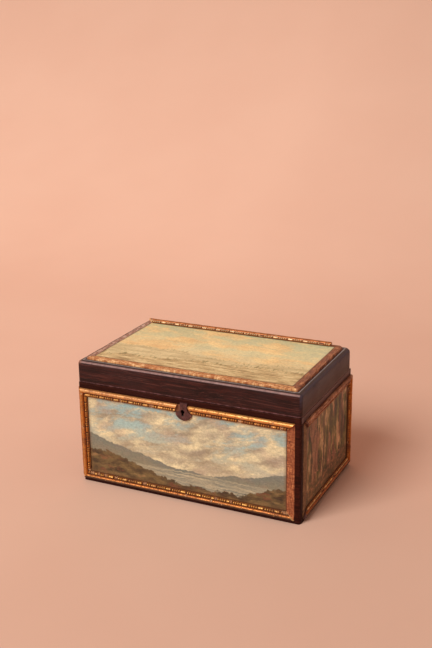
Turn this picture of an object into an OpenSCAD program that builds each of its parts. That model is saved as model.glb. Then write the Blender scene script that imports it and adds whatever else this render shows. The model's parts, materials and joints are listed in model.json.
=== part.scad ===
// Ditty box: a small lidded wooden box with painted panels let into its
// faces, applied gilt frame mouldings, a let-in lock and two butt hinges.
// Millimetres, +Z up. The origin is the middle of the underside; the front
// of the box faces -Y.

/* [Carcase] */
// Width of the box over its end boards
box_w = 283; // [266:1:300]
// Depth of the box over its front and back boards
box_d = 171; // [165:1:190]
// Height from the table to the rim of the box
body_h = 128; // [124:1:140]
// Thickness of the four upright boards
wall_t = 10; // [9.6:0.1:12]
// Height of the base board's visible edge
base_t = 4; // [3.5:0.1:4.1]
// Height of the inside floor above the table
floor_h = 8; // [6:0.5:10]
// Depth of the lap where an end board enters the front or back board
lap_d = 4; // [2:0.5:5]

/* [Lid] */
// Height of the lid's rails from the rim to the ledge
lid_rail_h = 27; // [24:1:34]
// Gap between the rim and the lid's rails
lid_gap = 0.3; // [0.2:0.05:0.5]
// Thickness of the lid's top board
lid_top_t = 6; // [5:0.5:8]
// Radius of the rounded shoulder round the lid
shoulder_r = 4; // [2:0.5:5]
// Width of the ledge round the raised panel of the lid
ledge_w = 7.5; // [6.5:0.5:9]
// Thickness of the raised panel of the lid
plinth_t = 3.1; // [2:0.1:5]

/* [Painted panels] */
// Thickness of the painted panels let into the faces
panel_t = 2; // [1.2:0.1:2.2]
// Height of the lower edge of the panels above the table
panel_z0 = 4.3; // [4.2:0.1:6]
// Distance from the rim down to the upper edge of the panels
panel_top = 7; // [6:0.5:7]
// Wood left between the front panel and the right-hand corner
front_post = 7.4; // [4:0.1:9]
// Wood left between the right-hand panel and the front corner
side_post = 7.3; // [5:0.1:9]

/* [Mouldings] */
// Width of the gilt mouldings
mould_w = 9.6; // [8.5:0.1:10]
// Height of the gilt mouldings above the panel
mould_h = 3.8; // [3.6:0.1:4.2]
// Distance by which the lid's moulding stops short of the right-hand corner
lid_mould_short = 15; // [10:1:40]

/* [Lock] */
// Sideways position of the keyhole
key_x = -2; // [-6:1:6]
// Distance of the keyhole's round part below the rim
key_drop = 15; // [15:0.5:16]
// Half width of the lock's plates
lock_hw = 26; // [26:0.5:30]
// Travel of the lock's bolt
bolt_throw = 4; // [3.5:0.1:4]

/* [Hinges] */
// Distance of each hinge from the middle of the back
hinge_x = 85; // [60:1:100]
// Width of each hinge
hinge_w = 30; // [26:1:36]
// Depth of the hinge leaves let into the rims
leaf_d = 8; // [7:0.5:8.5]
// Thickness of the hinge leaves
leaf_t = 1.2; // [1:0.1:1.4]
// Radius of the hinge barrel
barrel_r = 2.6; // [2.4:0.1:2.8]
// Radius of the hinge pin
pin_r = 1.1; // [0.9:0.1:1.2]
// Running clearance round the hinge pin
pin_gap = 0.05; // [0.02:0.01:0.08]

/* [Hidden] */
$fn = 48;

hw = box_w / 2;
hd = box_d / 2;
lid_z = body_h + lid_gap;
ledge_z = lid_z + lid_rail_h;
plinth_z = ledge_z + plinth_t;
px = hw - ledge_w;
py = hd - ledge_w;
panel_z1 = body_h - panel_top;

// Panel extents in each face's own frame: x to the right, y up.
front_x0 = -hw + panel_t;
front_x1 = hw - front_post;
right_x0 = -hd + side_post;
right_x1 = hd - 1.5;
left_x0 = -hd + panel_t;
left_x1 = hd - panel_t - 1.5;
back_x0 = -hw + 4;
back_x1 = hw - 4;

// Offset of the escutcheon from the keyhole, and the slope of the upper
// moulding's ends beside it
plate_dx = 1.3;
end_slope = 0.4;

// Hinge axis
ax_y = hd + 1.5;
ax_z = body_h + lid_gap / 2;
knuckle_gap = 0.3;
knuckle_w = (hinge_w - 2 * knuckle_gap) / 3;

// Lock
key_z = body_h - key_drop;
lock_y = -hd + wall_t;           // inner face of the front board
plate_t = 1.2;
mortice_y = -hd + panel_t + 1.8; // front end of the mortice
case_z0 = body_h - 23;
case_hw = lock_hw - 5.5;
lug_x = [-11, 11];
lug_t = 2;
lug_w = 4;
lug_y0 = mortice_y + 0.5;
lug_z0 = body_h - 8.4;
finger_z = body_h - 7.2;
bolt_y0 = lug_y0 + 1.4;
bolt_t = 1.2;

WOOD = [0.24, 0.12, 0.10];
RAIL = [0.30, 0.17, 0.14];
PICTURE = [0.72, 0.68, 0.55];
GILT = [0.78, 0.52, 0.20];
BRASS = [0.66, 0.52, 0.28];
STEEL = [0.42, 0.40, 0.38];
RUST = [0.43, 0.24, 0.20];

// ---------------------------------------------------------------- helpers

// Frames of the four upright faces: x right, y up, z outward.
module on_front() { translate([0, -hd, 0]) rotate([90, 0, 0]) children(); }
module on_right() { translate([hw, 0, 0]) rotate([90, 0, 90]) children(); }
module on_left()  { translate([-hw, 0, 0]) rotate([90, 0, -90]) children(); }
module on_back()  { translate([0, hd, 0]) rotate([90, 0, 180]) children(); }

// Keeps the part of a length l and depth w between two sloping end cuts;
// m0 and m1 are their slopes, 1 for a 45 degree mitre and 0 for a square end.
module mitred(l, w, h, m0, m1) {
  difference() {
    children();
    if (m0 > 0) linear_extrude(height = 2 * h, center = true)
      polygon([[-1 - m0, -1], [-m0, -1], [m0 * (w + 1), w + 1], [-1 - m0, w + 1]]);
    if (m1 > 0) linear_extrude(height = 2 * h, center = true)
      polygon([[l + m1, -1], [l + 1 + m1, -1], [l + 1 + m1, w + 1],
               [l - m1 * (w + 1), w + 1]]);
  }
}

// Section of the gilt moulding: a torus outside, a bead row inside.
module moulding_section() {
  k = mould_h / 3.8;
  intersection() {
    union() {
      square([mould_w, 1.4 * k]);
      translate([2.5, 1.3 * k]) circle(r = 2.5 * k);
      translate([6.9, 1.5 * k]) circle(r = 1.35 * k);
      translate([mould_w - 0.9, 0]) square([0.9, 1.9 * k]);
    }
    square([mould_w, mould_h]);
  }
}

// One length of moulding along +X, its outer edge on the X axis.
module moulding(l, m0 = 1, m1 = 1) {
  color(GILT)
  mitred(l, mould_w, mould_h + 1, m0, m1)
    rotate([90, 0, 90]) linear_extrude(height = l) moulding_section();
}

// The four sides of a frame on a face, from x0,y0 to x1,y1.
module m_bottom(x0, x1, y0, m0 = 1, m1 = 1) {
  translate([x0, y0, 0]) moulding(x1 - x0, m0, m1);
}
module m_top(x0, x1, y1, m0 = 1, m1 = 1) {
  translate([x1, y1, 0]) rotate([0, 0, 180]) moulding(x1 - x0, m0, m1);
}
module m_left(x0, y0, y1) {
  translate([x0, y1, 0]) rotate([0, 0, -90]) moulding(y1 - y0);
}
module m_right(x1, y0, y1) {
  translate([x1, y0, 0]) rotate([0, 0, 90]) moulding(y1 - y0);
}

// Panel of a face, sunk by panel_t.
module panel_block(x0, x1) {
  translate([x0, panel_z0, -panel_t])
    cube([x1 - x0, panel_z1 - panel_z0, panel_t]);
}

// Countersunk wood screw pointing down from its head at the origin.
module screw(l, r = 0.9, hr = 1.9) {
  difference() {
    screw_space(l, r, hr);
    translate([-hr - 1, -0.25, -0.4]) cube([2 * hr + 2, 0.5, 1]);
  }
}
module screw_space(l, r = 0.9, hr = 1.9) {
  translate([0, 0, -l]) cylinder(h = l, r = r);
  translate([0, 0, -(hr - r)]) cylinder(h = hr - r, r1 = r, r2 = hr);
}

// Keyhole outline in the front face's frame.
module keyhole_2d() {
  translate([key_x, key_z]) circle(r = 2.5);
  translate([key_x - 1.5, key_z - 5.6]) square([3, 5.6]);
}

// ------------------------------------------------------ screw positions

hinge_screw_dx = [-9.5, 0, 9.5];
hinge_screw_y = hd - leaf_d / 2 - 0.6;
module body_hinge_screw_spots() {
  for (s = [-1, 1]) for (dx = hinge_screw_dx)
    translate([s * hinge_x + dx, hinge_screw_y, body_h]) children();
}
module lid_hinge_screw_spots() {
  for (s = [-1, 1]) for (dx = hinge_screw_dx)
    translate([s * hinge_x + dx, hinge_screw_y, lid_z])
      rotate([180, 0, 0]) children();
}
module lock_screw_spots() {
  for (s = [-1, 1])
    translate([key_x + s * (lock_hw - 3.2), (mortice_y + lock_y) / 2, body_h])
      children();
}
module link_screw_spots() {
  for (s = [-1, 1])
    translate([key_x + s * (lock_hw - 3.2), (mortice_y + lock_y) / 2, lid_z])
      rotate([180, 0, 0]) children();
}

// ------------------------------------------------------------- carcase

module bottom_board() {
  color(WOOD) union() {
    translate([-hw, -hd, 0]) cube([box_w, box_d, base_t]);
    translate([-hw + wall_t, -hd + wall_t, 0])
      cube([box_w - 2 * wall_t, box_d - 2 * wall_t, floor_h]);
  }
}

module panel_recesses() {
  on_front() panel_block(front_x0, front_x1);
  on_back() panel_block(back_x0, back_x1);
  on_left() panel_block(left_x0, left_x1);
  on_right() panel_block(right_x0, right_x1);
}

module long_board() {
  difference() {
    translate([-hw, -hd, base_t]) cube([box_w, wall_t, body_h - base_t]);
    for (s = [-1, 1])
      translate([s * (hw - wall_t / 2) - wall_t / 2, -hd + wall_t - lap_d,
                 base_t - 1])
        cube([wall_t, lap_d + 1, body_h]);
  }
}

module lock_mortice() {
  // hollow for the case
  translate([key_x - case_hw, mortice_y, case_z0 + 1])
    cube([2 * case_hw, lock_y - mortice_y + 1, body_h]);
  // seat of the upright plate
  translate([key_x - lock_hw, lock_y - plate_t, case_z0])
    cube([2 * lock_hw, plate_t + 1, body_h]);
  // seat of the rim plate
  translate([key_x - lock_hw, mortice_y - 0.5, body_h - plate_t])
    cube([2 * lock_hw, 20, plate_t + 1]);
}

module front_board() {
  color(WOOD) difference() {
    long_board();
    panel_recesses();
    lock_mortice();
    on_front() translate([0, 0, -6]) linear_extrude(height = 8) keyhole_2d();
    lock_screw_spots() screw_space(9);
  }
}

module hinge_seats(z) {
  for (s = [-1, 1]) {
    translate([s * hinge_x - hinge_w / 2, hd - leaf_d, z])
      cube([hinge_w, leaf_d + 5, leaf_t]);
    translate([s * hinge_x - hinge_w / 2 - 0.3, ax_y, ax_z])
      rotate([0, 90, 0]) cylinder(h = hinge_w + 0.6, r = barrel_r + 0.3);
  }
}

module back_board() {
  color(WOOD) difference() {
    mirror([0, 1, 0]) long_board();
    panel_recesses();
    hinge_seats(body_h - leaf_t);
    body_hinge_screw_spots() screw_space(12);
  }
}

module end_board() {
  translate([hw - wall_t, -hd + wall_t - lap_d, base_t])
    cube([wall_t, box_d - 2 * (wall_t - lap_d), body_h - base_t]);
}
module left_board() {
  color(WOOD) difference() { mirror([1, 0, 0]) end_board(); panel_recesses(); }
}
module right_board() {
  color(WOOD) difference() { end_board(); panel_recesses(); }
}

// ------------------------------------------------------ painted panels

module front_panel() {
  color(PICTURE) difference() {
    on_front() panel_block(front_x0, front_x1);
    on_front() translate([0, 0, -6]) linear_extrude(height = 8) keyhole_2d();
  }
}
module back_panel()  { color(PICTURE) on_back() panel_block(back_x0, back_x1); }
module left_panel()  { color(PICTURE) on_left() panel_block(left_x0, left_x1); }
module right_panel() { color(PICTURE) on_right() panel_block(right_x0, right_x1); }

// ------------------------------------------------------ gilt mouldings

// The front's upper moulding is cut away round the escutcheon.
module front_moulding_left()   { on_front() m_left(front_x0, panel_z0, panel_z1); }
module front_moulding_bottom() { on_front() m_bottom(front_x0, front_x1, panel_z0); }
module front_moulding_top_left() {
  on_front() m_top(front_x0, key_x + plate_dx - 8.3, panel_z1, end_slope, 1);
}
module front_moulding_top_right() {
  on_front() m_top(key_x + plate_dx + 5.9, front_x1, panel_z1, 1, end_slope);
}
module right_moulding_top()    { on_right() m_top(right_x0, right_x1, panel_z1); }
module right_moulding_bottom() { on_right() m_bottom(right_x0, right_x1, panel_z0); }
module right_moulding_back()   { on_right() m_right(right_x1, panel_z0, panel_z1); }
module left_moulding_top()     { on_left() m_top(left_x0, left_x1, panel_z1); }
module left_moulding_bottom()  { on_left() m_bottom(left_x0, left_x1, panel_z0); }
module left_moulding_front()   { on_left() m_right(left_x1, panel_z0, panel_z1); }
module left_moulding_back()    { on_left() m_left(left_x0, panel_z0, panel_z1); }
module back_moulding_top()     { on_back() m_top(back_x0, back_x1, panel_z1); }
module back_moulding_bottom()  { on_back() m_bottom(back_x0, back_x1, panel_z0); }
module back_moulding_left()    { on_back() m_right(back_x1, panel_z0, panel_z1); }
module back_moulding_right()   { on_back() m_left(back_x0, panel_z0, panel_z1); }

// ---------------------------------------------------------------- lock

// Shield-shaped keyhole plate on the front panel.
module escutcheon() {
  color(RUST) on_front() difference() {
    linear_extrude(height = 2)
      translate([key_x + plate_dx, key_z - 1.5])
        for (s = [0, 1]) mirror([s, 0])
          polygon([[-0.01, 12.2], [4.6, 12.2], [4.3, 6.5], [4.6, 4.4],
                   [5.6, 2.2], [7.4, 0.6], [10.3, -0.7], [10.1, -2.3],
                   [9.3, -3.9], [8, -5.5], [6.2, -7], [3.9, -8.2],
                   [1.4, -8.9], [-0.01, -9]]);
    translate([0, 0, -1]) linear_extrude(height = 5) keyhole_2d();
  }
}

// Upright plate, rim plate and the walls of the bolt's housing.
module lock_case() {
  color(BRASS) difference() {
    union() {
      translate([key_x - lock_hw, lock_y - plate_t, case_z0])
        cube([2 * lock_hw, plate_t, body_h - case_z0]);
      translate([key_x - lock_hw, mortice_y - 0.5, body_h - plate_t])
        cube([2 * lock_hw, lock_y - mortice_y + 0.5, plate_t]);
      for (s = [-1, 1])
        translate([key_x + s * (case_hw - 0.5) - 0.5, mortice_y, case_z0 + 1])
          cube([1, lock_y - mortice_y, body_h - case_z0 - 1]);
      translate([key_x - case_hw, mortice_y, case_z0 + 1])
        cube([2 * case_hw, lock_y - mortice_y, 1]);
    }
    for (x = lug_x)
      translate([key_x + x - lug_t / 2 - 0.6, lug_y0 - 0.5,
                 body_h - plate_t - 1])
        cube([lug_t + 1.2, lug_w + 1, plate_t + 2]);
    lock_screw_spots() screw_space(9);
  }
}

// Sliding bolt with two fingers that enter the lugs of the link plate.
module lock_bolt() {
  color(STEEL) translate([key_x, bolt_y0, 0]) difference() {
    union() {
      translate([-19, 0, finger_z - 4.9]) cube([27, bolt_t, 2.7]);
      for (x = lug_x) {
        translate([x - lug_t / 2 - 7, 0, finger_z - 4.9])
          cube([2.5, bolt_t, 7.5]);
        translate([x - lug_t / 2 - 7, 0, finger_z])
          cube([6, bolt_t, 2.6]);
      }
    }
    translate([-4, -1, finger_z - 5.9]) cube([4, bolt_t + 2, 2.2]);
  }
}

// Leaf spring under the bolt's left-hand end.
module lock_spring() {
  function bow(t) = [-18.5 + 10.5 * t, finger_z - 4.9 - 2.2 * sin(90 * t)];
  color(STEEL) translate([key_x, bolt_y0 + bolt_t, 0]) rotate([90, 0, 0])
    linear_extrude(height = bolt_t)
      polygon(concat([for (i = [0:10]) bow(i / 10)],
                     [for (i = [10:-1:0]) bow(i / 10) - [0, 0.4]]));
}

module lock_key_pin() {
  color(STEEL) translate([key_x, lock_y - plate_t, key_z])
    rotate([90, 0, 0]) cylinder(h = 6, r = 1);
}

module lock_screws() { color(BRASS) lock_screw_spots() screw(9); }

module link_plate() {
  color(BRASS) difference() {
    union() {
      translate([key_x - lock_hw, mortice_y - 0.5, lid_z])
        cube([2 * lock_hw, lock_y - mortice_y + 0.5, plate_t]);
      for (x = lug_x)
        translate([key_x + x - lug_t / 2, lug_y0, lug_z0])
          cube([lug_t, lug_w, lid_z - lug_z0 + 0.5]);
    }
    for (x = lug_x)
      translate([key_x + x - lug_t, bolt_y0 - 0.3, finger_z - 0.4])
        cube([2 * lug_t, bolt_t + 0.6, 3.4]);
    link_screw_spots() screw_space(9);
  }
}

module link_plate_screws() { color(BRASS) link_screw_spots() screw(9); }

// -------------------------------------------------------------- hinges

// Body leaf: plate under the rim and the two outer knuckles.
module body_leaf(cx) {
  color(BRASS) difference() {
    union() {
      translate([cx - hinge_w / 2, hd - leaf_d, body_h - leaf_t])
        cube([hinge_w, leaf_d + 1.5, leaf_t]);
      for (s = [-1, 1])
        translate([cx + s * (knuckle_w + knuckle_gap) - knuckle_w / 2,
                   ax_y, ax_z])
          rotate([0, 90, 0]) cylinder(h = knuckle_w, r = barrel_r);
    }
    // room for the lid's knuckle
    translate([cx - knuckle_w / 2 - knuckle_gap, ax_y, ax_z])
      rotate([0, 90, 0])
        cylinder(h = knuckle_w + 2 * knuckle_gap, r = barrel_r + 0.3);
    translate([cx - hinge_w, ax_y, ax_z]) rotate([0, 90, 0])
      cylinder(h = 2 * hinge_w, r = pin_r + pin_gap);
    body_hinge_screw_spots() screw_space(12);
  }
}

// Lid leaf: plate in the lid's rail and the middle knuckle.
module lid_leaf(cx) {
  color(BRASS) difference() {
    union() {
      translate([cx - hinge_w / 2, hd - leaf_d, lid_z])
        cube([hinge_w, leaf_d + 1.5, leaf_t]);
      translate([cx - knuckle_w / 2, ax_y, ax_z])
        rotate([0, 90, 0]) cylinder(h = knuckle_w, r = barrel_r);
    }
    // room for the body's knuckles
    for (s = [-1, 1])
      translate([cx + s * (knuckle_w + knuckle_gap)
                 - knuckle_w / 2 - knuckle_gap, ax_y, ax_z])
        rotate([0, 90, 0])
          cylinder(h = knuckle_w + 2 * knuckle_gap, r = barrel_r + 0.3);
    translate([cx - hinge_w, ax_y, ax_z]) rotate([0, 90, 0])
      cylinder(h = 2 * hinge_w, r = pin_r + pin_gap);
    lid_hinge_screw_spots() screw_space(12);
  }
}

module hinge_pin(cx) {
  color(STEEL) translate([cx - hinge_w / 2, ax_y, ax_z])
    rotate([0, 90, 0]) cylinder(h = hinge_w, r = pin_r);
}

module hinge_left_body_leaf()  { body_leaf(-hinge_x); }
module hinge_right_body_leaf() { body_leaf(hinge_x); }
module hinge_left_pin()        { hinge_pin(-hinge_x); }
module hinge_right_pin()       { hinge_pin(hinge_x); }
module hinge_left_lid_leaf()   { lid_leaf(-hinge_x); }
module hinge_right_lid_leaf()  { lid_leaf(hinge_x); }
module body_hinge_screws() { color(BRASS) body_hinge_screw_spots() screw(12); }
module lid_hinge_screws()  { color(BRASS) lid_hinge_screw_spots() screw(12); }

// ----------------------------------------------------------------- lid

// Section of a lid rail: outer face at 0, rounded shoulder, rebate inside.
module rail_section() {
  difference() {
    square([wall_t, lid_rail_h]);
    translate([wall_t - 2, lid_rail_h - lid_top_t]) square([3, lid_top_t + 1]);
    difference() {
      translate([-1, lid_rail_h - shoulder_r]) square([shoulder_r + 1, shoulder_r + 1]);
      translate([shoulder_r, lid_rail_h - shoulder_r]) circle(r = shoulder_r);
    }
  }
}
module rail(l) {
  mitred(l, wall_t, 2 * lid_rail_h, 1, 1)
    rotate([90, 0, 90]) linear_extrude(height = l) rail_section();
}

module lid_front_rail() {
  color(RAIL) difference() {
    translate([-hw, -hd, lid_z]) rail(box_w);
    translate([key_x - lock_hw, mortice_y - 0.5, lid_z - 1])
      cube([2 * lock_hw, lock_y - mortice_y + 0.5, plate_t + 1]);
    link_screw_spots() screw_space(9);
  }
}
module lid_back_rail() {
  color(RAIL) difference() {
    translate([hw, hd, lid_z]) rotate([0, 0, 180]) rail(box_w);
    hinge_seats(lid_z);
    lid_hinge_screw_spots() screw_space(12);
  }
}
module lid_left_rail() {
  color(RAIL) translate([-hw, hd, lid_z]) rotate([0, 0, -90]) rail(box_d);
}
module lid_right_rail() {
  color(RAIL) translate([hw, -hd, lid_z]) rotate([0, 0, 90]) rail(box_d);
}
module lid_top_board() {
  color(RAIL) translate([-hw + wall_t - 2, -hd + wall_t - 2, ledge_z - lid_top_t])
    cube([box_w - 2 * wall_t + 4, box_d - 2 * wall_t + 4, lid_top_t]);
}
module lid_panel() {
  color(PICTURE) translate([-px, -py, ledge_z]) cube([2 * px, 2 * py, plinth_t]);
}
module lid_moulding_back() {
  translate([0, 0, plinth_z]) m_top(-px, px - lid_mould_short, py, 0, 1);
}

bottom_board();
front_board();
back_board();
left_board();
right_board();
front_panel();
back_panel();
left_panel();
right_panel();
front_moulding_left();
front_moulding_bottom();
front_moulding_top_left();
front_moulding_top_right();
right_moulding_top();
right_moulding_bottom();
right_moulding_back();
left_moulding_top();
left_moulding_bottom();
left_moulding_front();
left_moulding_back();
back_moulding_top();
back_moulding_bottom();
back_moulding_left();
back_moulding_right();
escutcheon();
lock_case();
lock_bolt();
lock_spring();
lock_key_pin();
lock_screws();
hinge_left_body_leaf();
hinge_right_body_leaf();
hinge_left_pin();
hinge_right_pin();
body_hinge_screws();
lid_front_rail();
lid_back_rail();
lid_left_rail();
lid_right_rail();
lid_top_board();
lid_panel();
lid_moulding_back();
hinge_left_lid_leaf();
hinge_right_lid_leaf();
lid_hinge_screws();
link_plate();
link_plate_screws();
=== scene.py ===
import json
import math

import bmesh
import bpy
import numpy as np
from mathutils import Matrix, Vector, noise

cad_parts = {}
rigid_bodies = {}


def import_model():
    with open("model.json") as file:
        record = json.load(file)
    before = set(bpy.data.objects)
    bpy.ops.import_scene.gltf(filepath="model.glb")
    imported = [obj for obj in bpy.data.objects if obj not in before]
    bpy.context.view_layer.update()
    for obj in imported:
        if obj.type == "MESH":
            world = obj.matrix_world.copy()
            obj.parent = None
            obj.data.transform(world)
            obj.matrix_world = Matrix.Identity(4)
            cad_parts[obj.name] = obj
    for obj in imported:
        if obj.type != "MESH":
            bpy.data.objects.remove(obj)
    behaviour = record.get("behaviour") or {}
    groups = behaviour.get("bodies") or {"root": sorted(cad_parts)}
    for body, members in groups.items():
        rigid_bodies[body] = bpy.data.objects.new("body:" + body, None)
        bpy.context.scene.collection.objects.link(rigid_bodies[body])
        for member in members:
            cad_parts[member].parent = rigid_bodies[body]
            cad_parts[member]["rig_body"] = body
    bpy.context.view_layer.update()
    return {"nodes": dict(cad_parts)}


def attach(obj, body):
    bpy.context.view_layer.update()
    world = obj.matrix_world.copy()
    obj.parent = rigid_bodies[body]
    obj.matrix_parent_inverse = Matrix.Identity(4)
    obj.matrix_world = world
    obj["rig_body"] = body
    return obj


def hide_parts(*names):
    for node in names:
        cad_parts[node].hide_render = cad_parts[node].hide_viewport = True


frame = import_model()
NODE = frame["nodes"]
MM = 0.001

# Main sizes in millimetres, as the frame has them
HW, HD = 141.5, 85.5
RIM = 128.0
LID_Z = 128.3
LEDGE = 155.3
TOP = 158.4
PX, PY = 134.0, 78.0
MW, MH = 9.6, 3.8
PZ0, PZ1 = 4.3, 121.0
KX, KZ = -2.0, 113.0
FRONT = (-139.5, 134.1)
RIGHT = (-78.2, 84.0)
LEFT = (-83.5, 82.0)
BACK = (-137.5, 137.5)

# ------------------------------------------------------------------ camera


def make_camera():
    az, el, roll = math.radians(25.49), math.radians(17.74), math.radians(-0.81)
    f = Vector((-math.sin(az) * math.cos(el), math.cos(az) * math.cos(el), -math.sin(el)))
    r = Vector((math.cos(az), math.sin(az), 0.0))
    u = r.cross(f)
    right = math.cos(roll) * r + math.sin(roll) * u
    up = -math.sin(roll) * r + math.cos(roll) * u
    m = Matrix((right, up, -f)).transposed().to_4x4()
    m.translation = Vector((0.4881, -1.0232, 0.5553))
    data = bpy.data.cameras.new("camera")
    data.lens = 1002.8 / 648 * 36
    data.sensor_width = 36
    data.clip_start, data.clip_end = 0.02, 50
    cam = bpy.data.objects.new("camera", data)
    cam.matrix_world = m
    bpy.context.scene.collection.objects.link(cam)
    bpy.context.scene.camera = cam


make_camera()

# ------------------------------------------------------------ shader graphs


def srgb(r, g, b):
    def lin(c):
        c /= 255
        return c / 12.92 if c <= 0.04045 else ((c + 0.055) / 1.055) ** 2.4

    return (lin(r), lin(g), lin(b), 1.0)


class Graph:
    """Builds one material's node tree."""

    def __init__(self, name):
        self.mat = bpy.data.materials.new(name)
        self.mat.use_nodes = True
        self.tree = self.mat.node_tree
        self.tree.nodes.clear()
        out = self.tree.nodes.new("ShaderNodeOutputMaterial")
        self.bsdf = self.tree.nodes.new("ShaderNodeBsdfPrincipled")
        self.tree.links.new(self.bsdf.outputs[0], out.inputs[0])
        tc = self.tree.nodes.new("ShaderNodeTexCoord")
        self.obj = self.vscale(tc.outputs["Object"], 1000.0)  # millimetres
        sep = self.tree.nodes.new("ShaderNodeSeparateXYZ")
        self.tree.links.new(self.obj, sep.inputs[0])
        self.x, self.y, self.z = sep.outputs

    def put(self, sock, v):
        if isinstance(v, bpy.types.NodeSocket):
            self.tree.links.new(v, sock)
        elif isinstance(v, (tuple, list)) and sock.type == "VECTOR":
            sock.default_value = v[:3]
        else:
            sock.default_value = v

    def m(self, op, a, b=0.0, c=0.0, clamp=False):
        n = self.tree.nodes.new("ShaderNodeMath")
        n.operation = op
        n.use_clamp = clamp
        self.put(n.inputs[0], a)
        self.put(n.inputs[1], b)
        self.put(n.inputs[2], c)
        return n.outputs[0]

    def add(self, a, b): return self.m("ADD", a, b)
    def sub(self, a, b): return self.m("SUBTRACT", a, b)
    def mul(self, a, b): return self.m("MULTIPLY", a, b)
    def div(self, a, b): return self.m("DIVIDE", a, b)
    def mn(self, a, b): return self.m("MINIMUM", a, b)
    def mx(self, a, b): return self.m("MAXIMUM", a, b)
    def ab(self, a): return self.m("ABSOLUTE", a)
    def inv(self, a): return self.m("SUBTRACT", 1.0, a)
    def sat(self, a): return self.m("ADD", a, 0.0, clamp=True)

    def vscale(self, v, s):
        n = self.tree.nodes.new("ShaderNodeVectorMath")
        n.operation = "SCALE"
        self.put(n.inputs[0], v)
        self.put(n.inputs["Scale"], s)
        return n.outputs[0]

    def vm(self, op, a, b):
        n = self.tree.nodes.new("ShaderNodeVectorMath")
        n.operation = op
        self.put(n.inputs[0], a)
        self.put(n.inputs[1], b)
        return n.outputs[0]

    def vec(self, x, y, z=0.0):
        n = self.tree.nodes.new("ShaderNodeCombineXYZ")
        for s, v in zip(n.inputs, (x, y, z)):
            self.put(s, v)
        return n.outputs[0]

    def noise(self, v, scale=1.0, detail=4.0, rough=0.5, dist=0.0, out=0):
        n = self.tree.nodes.new("ShaderNodeTexNoise")
        self.put(n.inputs["Vector"], v)
        self.put(n.inputs["Scale"], scale)
        self.put(n.inputs["Detail"], detail)
        self.put(n.inputs["Roughness"], rough)
        self.put(n.inputs["Distortion"], dist)
        return n.outputs[out]

    def voro(self, v, scale=1.0, feature="F1", out="Distance", rand=1.0):
        n = self.tree.nodes.new("ShaderNodeTexVoronoi")
        n.feature = feature
        self.put(n.inputs["Vector"], v)
        self.put(n.inputs["Scale"], scale)
        self.put(n.inputs["Randomness"], rand)
        return n.outputs[out]

    def step(self, v, lo, hi):
        """0 below lo, 1 above hi, smooth between; lo may exceed hi."""
        n = self.tree.nodes.new("ShaderNodeMapRange")
        n.interpolation_type = "SMOOTHSTEP"
        n.clamp = True
        self.put(n.inputs["Value"], v)
        if isinstance(lo, (int, float)) and isinstance(hi, (int, float)) and lo > hi:
            self.put(n.inputs["From Min"], hi)
            self.put(n.inputs["From Max"], lo)
            self.put(n.inputs["To Min"], 1.0)
            self.put(n.inputs["To Max"], 0.0)
        else:
            self.put(n.inputs["From Min"], lo)
            self.put(n.inputs["From Max"], hi)
        return n.outputs[0]

    def line(self, v, a, b, c, d):
        """Maps v from a..b to c..d, clamped."""
        n = self.tree.nodes.new("ShaderNodeMapRange")
        n.clamp = True
        for k, w in zip(("Value", "From Min", "From Max", "To Min", "To Max"), (v, a, b, c, d)):
            self.put(n.inputs[k], w)
        return n.outputs[0]

    def ramp(self, v, *stops, interp="LINEAR"):
        n = self.tree.nodes.new("ShaderNodeValToRGB")
        n.color_ramp.interpolation = interp
        e = n.color_ramp.elements
        while len(e) < len(stops):
            e.new(0.5)
        for k, (p, col) in zip(e, stops):
            k.position, k.color = p, col
        self.put(n.inputs[0], v)
        return n.outputs[0]

    def mix(self, f, a, b, mode="MIX"):
        n = self.tree.nodes.new("ShaderNodeMix")
        n.data_type = "RGBA"
        n.blend_type = mode
        n.clamp_factor = True
        self.put(n.inputs[0], f)
        self.put(n.inputs[6], a)
        self.put(n.inputs[7], b)
        return n.outputs[2]

    def lighten(self, col, k):
        """Multiplies a colour by a number socket."""
        n = self.tree.nodes.new("ShaderNodeVectorMath")
        n.operation = "SCALE"
        self.put(n.inputs[0], col)
        self.put(n.inputs["Scale"], k)
        return n.outputs[0]

    def attr(self, name):
        n = self.tree.nodes.new("ShaderNodeAttribute")
        n.attribute_name = name
        return n.outputs["Fac"]

    def bump(self, h, strength=1.0, dist=0.0002, normal=None):
        n = self.tree.nodes.new("ShaderNodeBump")
        self.put(n.inputs["Strength"], strength)
        self.put(n.inputs["Distance"], dist)
        self.put(n.inputs["Height"], h)
        if normal is not None:
            self.put(n.inputs["Normal"], normal)
        return n.outputs[0]

    def done(self, color, rough=0.5, normal=None, metallic=0.0, spec=0.5, coat=0.0, coat_rough=0.3):
        b = self.bsdf
        self.put(b.inputs["Base Color"], color)
        self.put(b.inputs["Roughness"], rough)
        self.put(b.inputs["Metallic"], metallic)
        b.inputs["Specular IOR Level"].default_value = spec
        b.inputs["Coat Weight"].default_value = coat
        b.inputs["Coat Roughness"].default_value = coat_rough
        if normal is not None:
            self.put(b.inputs["Normal"], normal)
        return self.mat


# ------------------------------------------------------------------- woods


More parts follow.
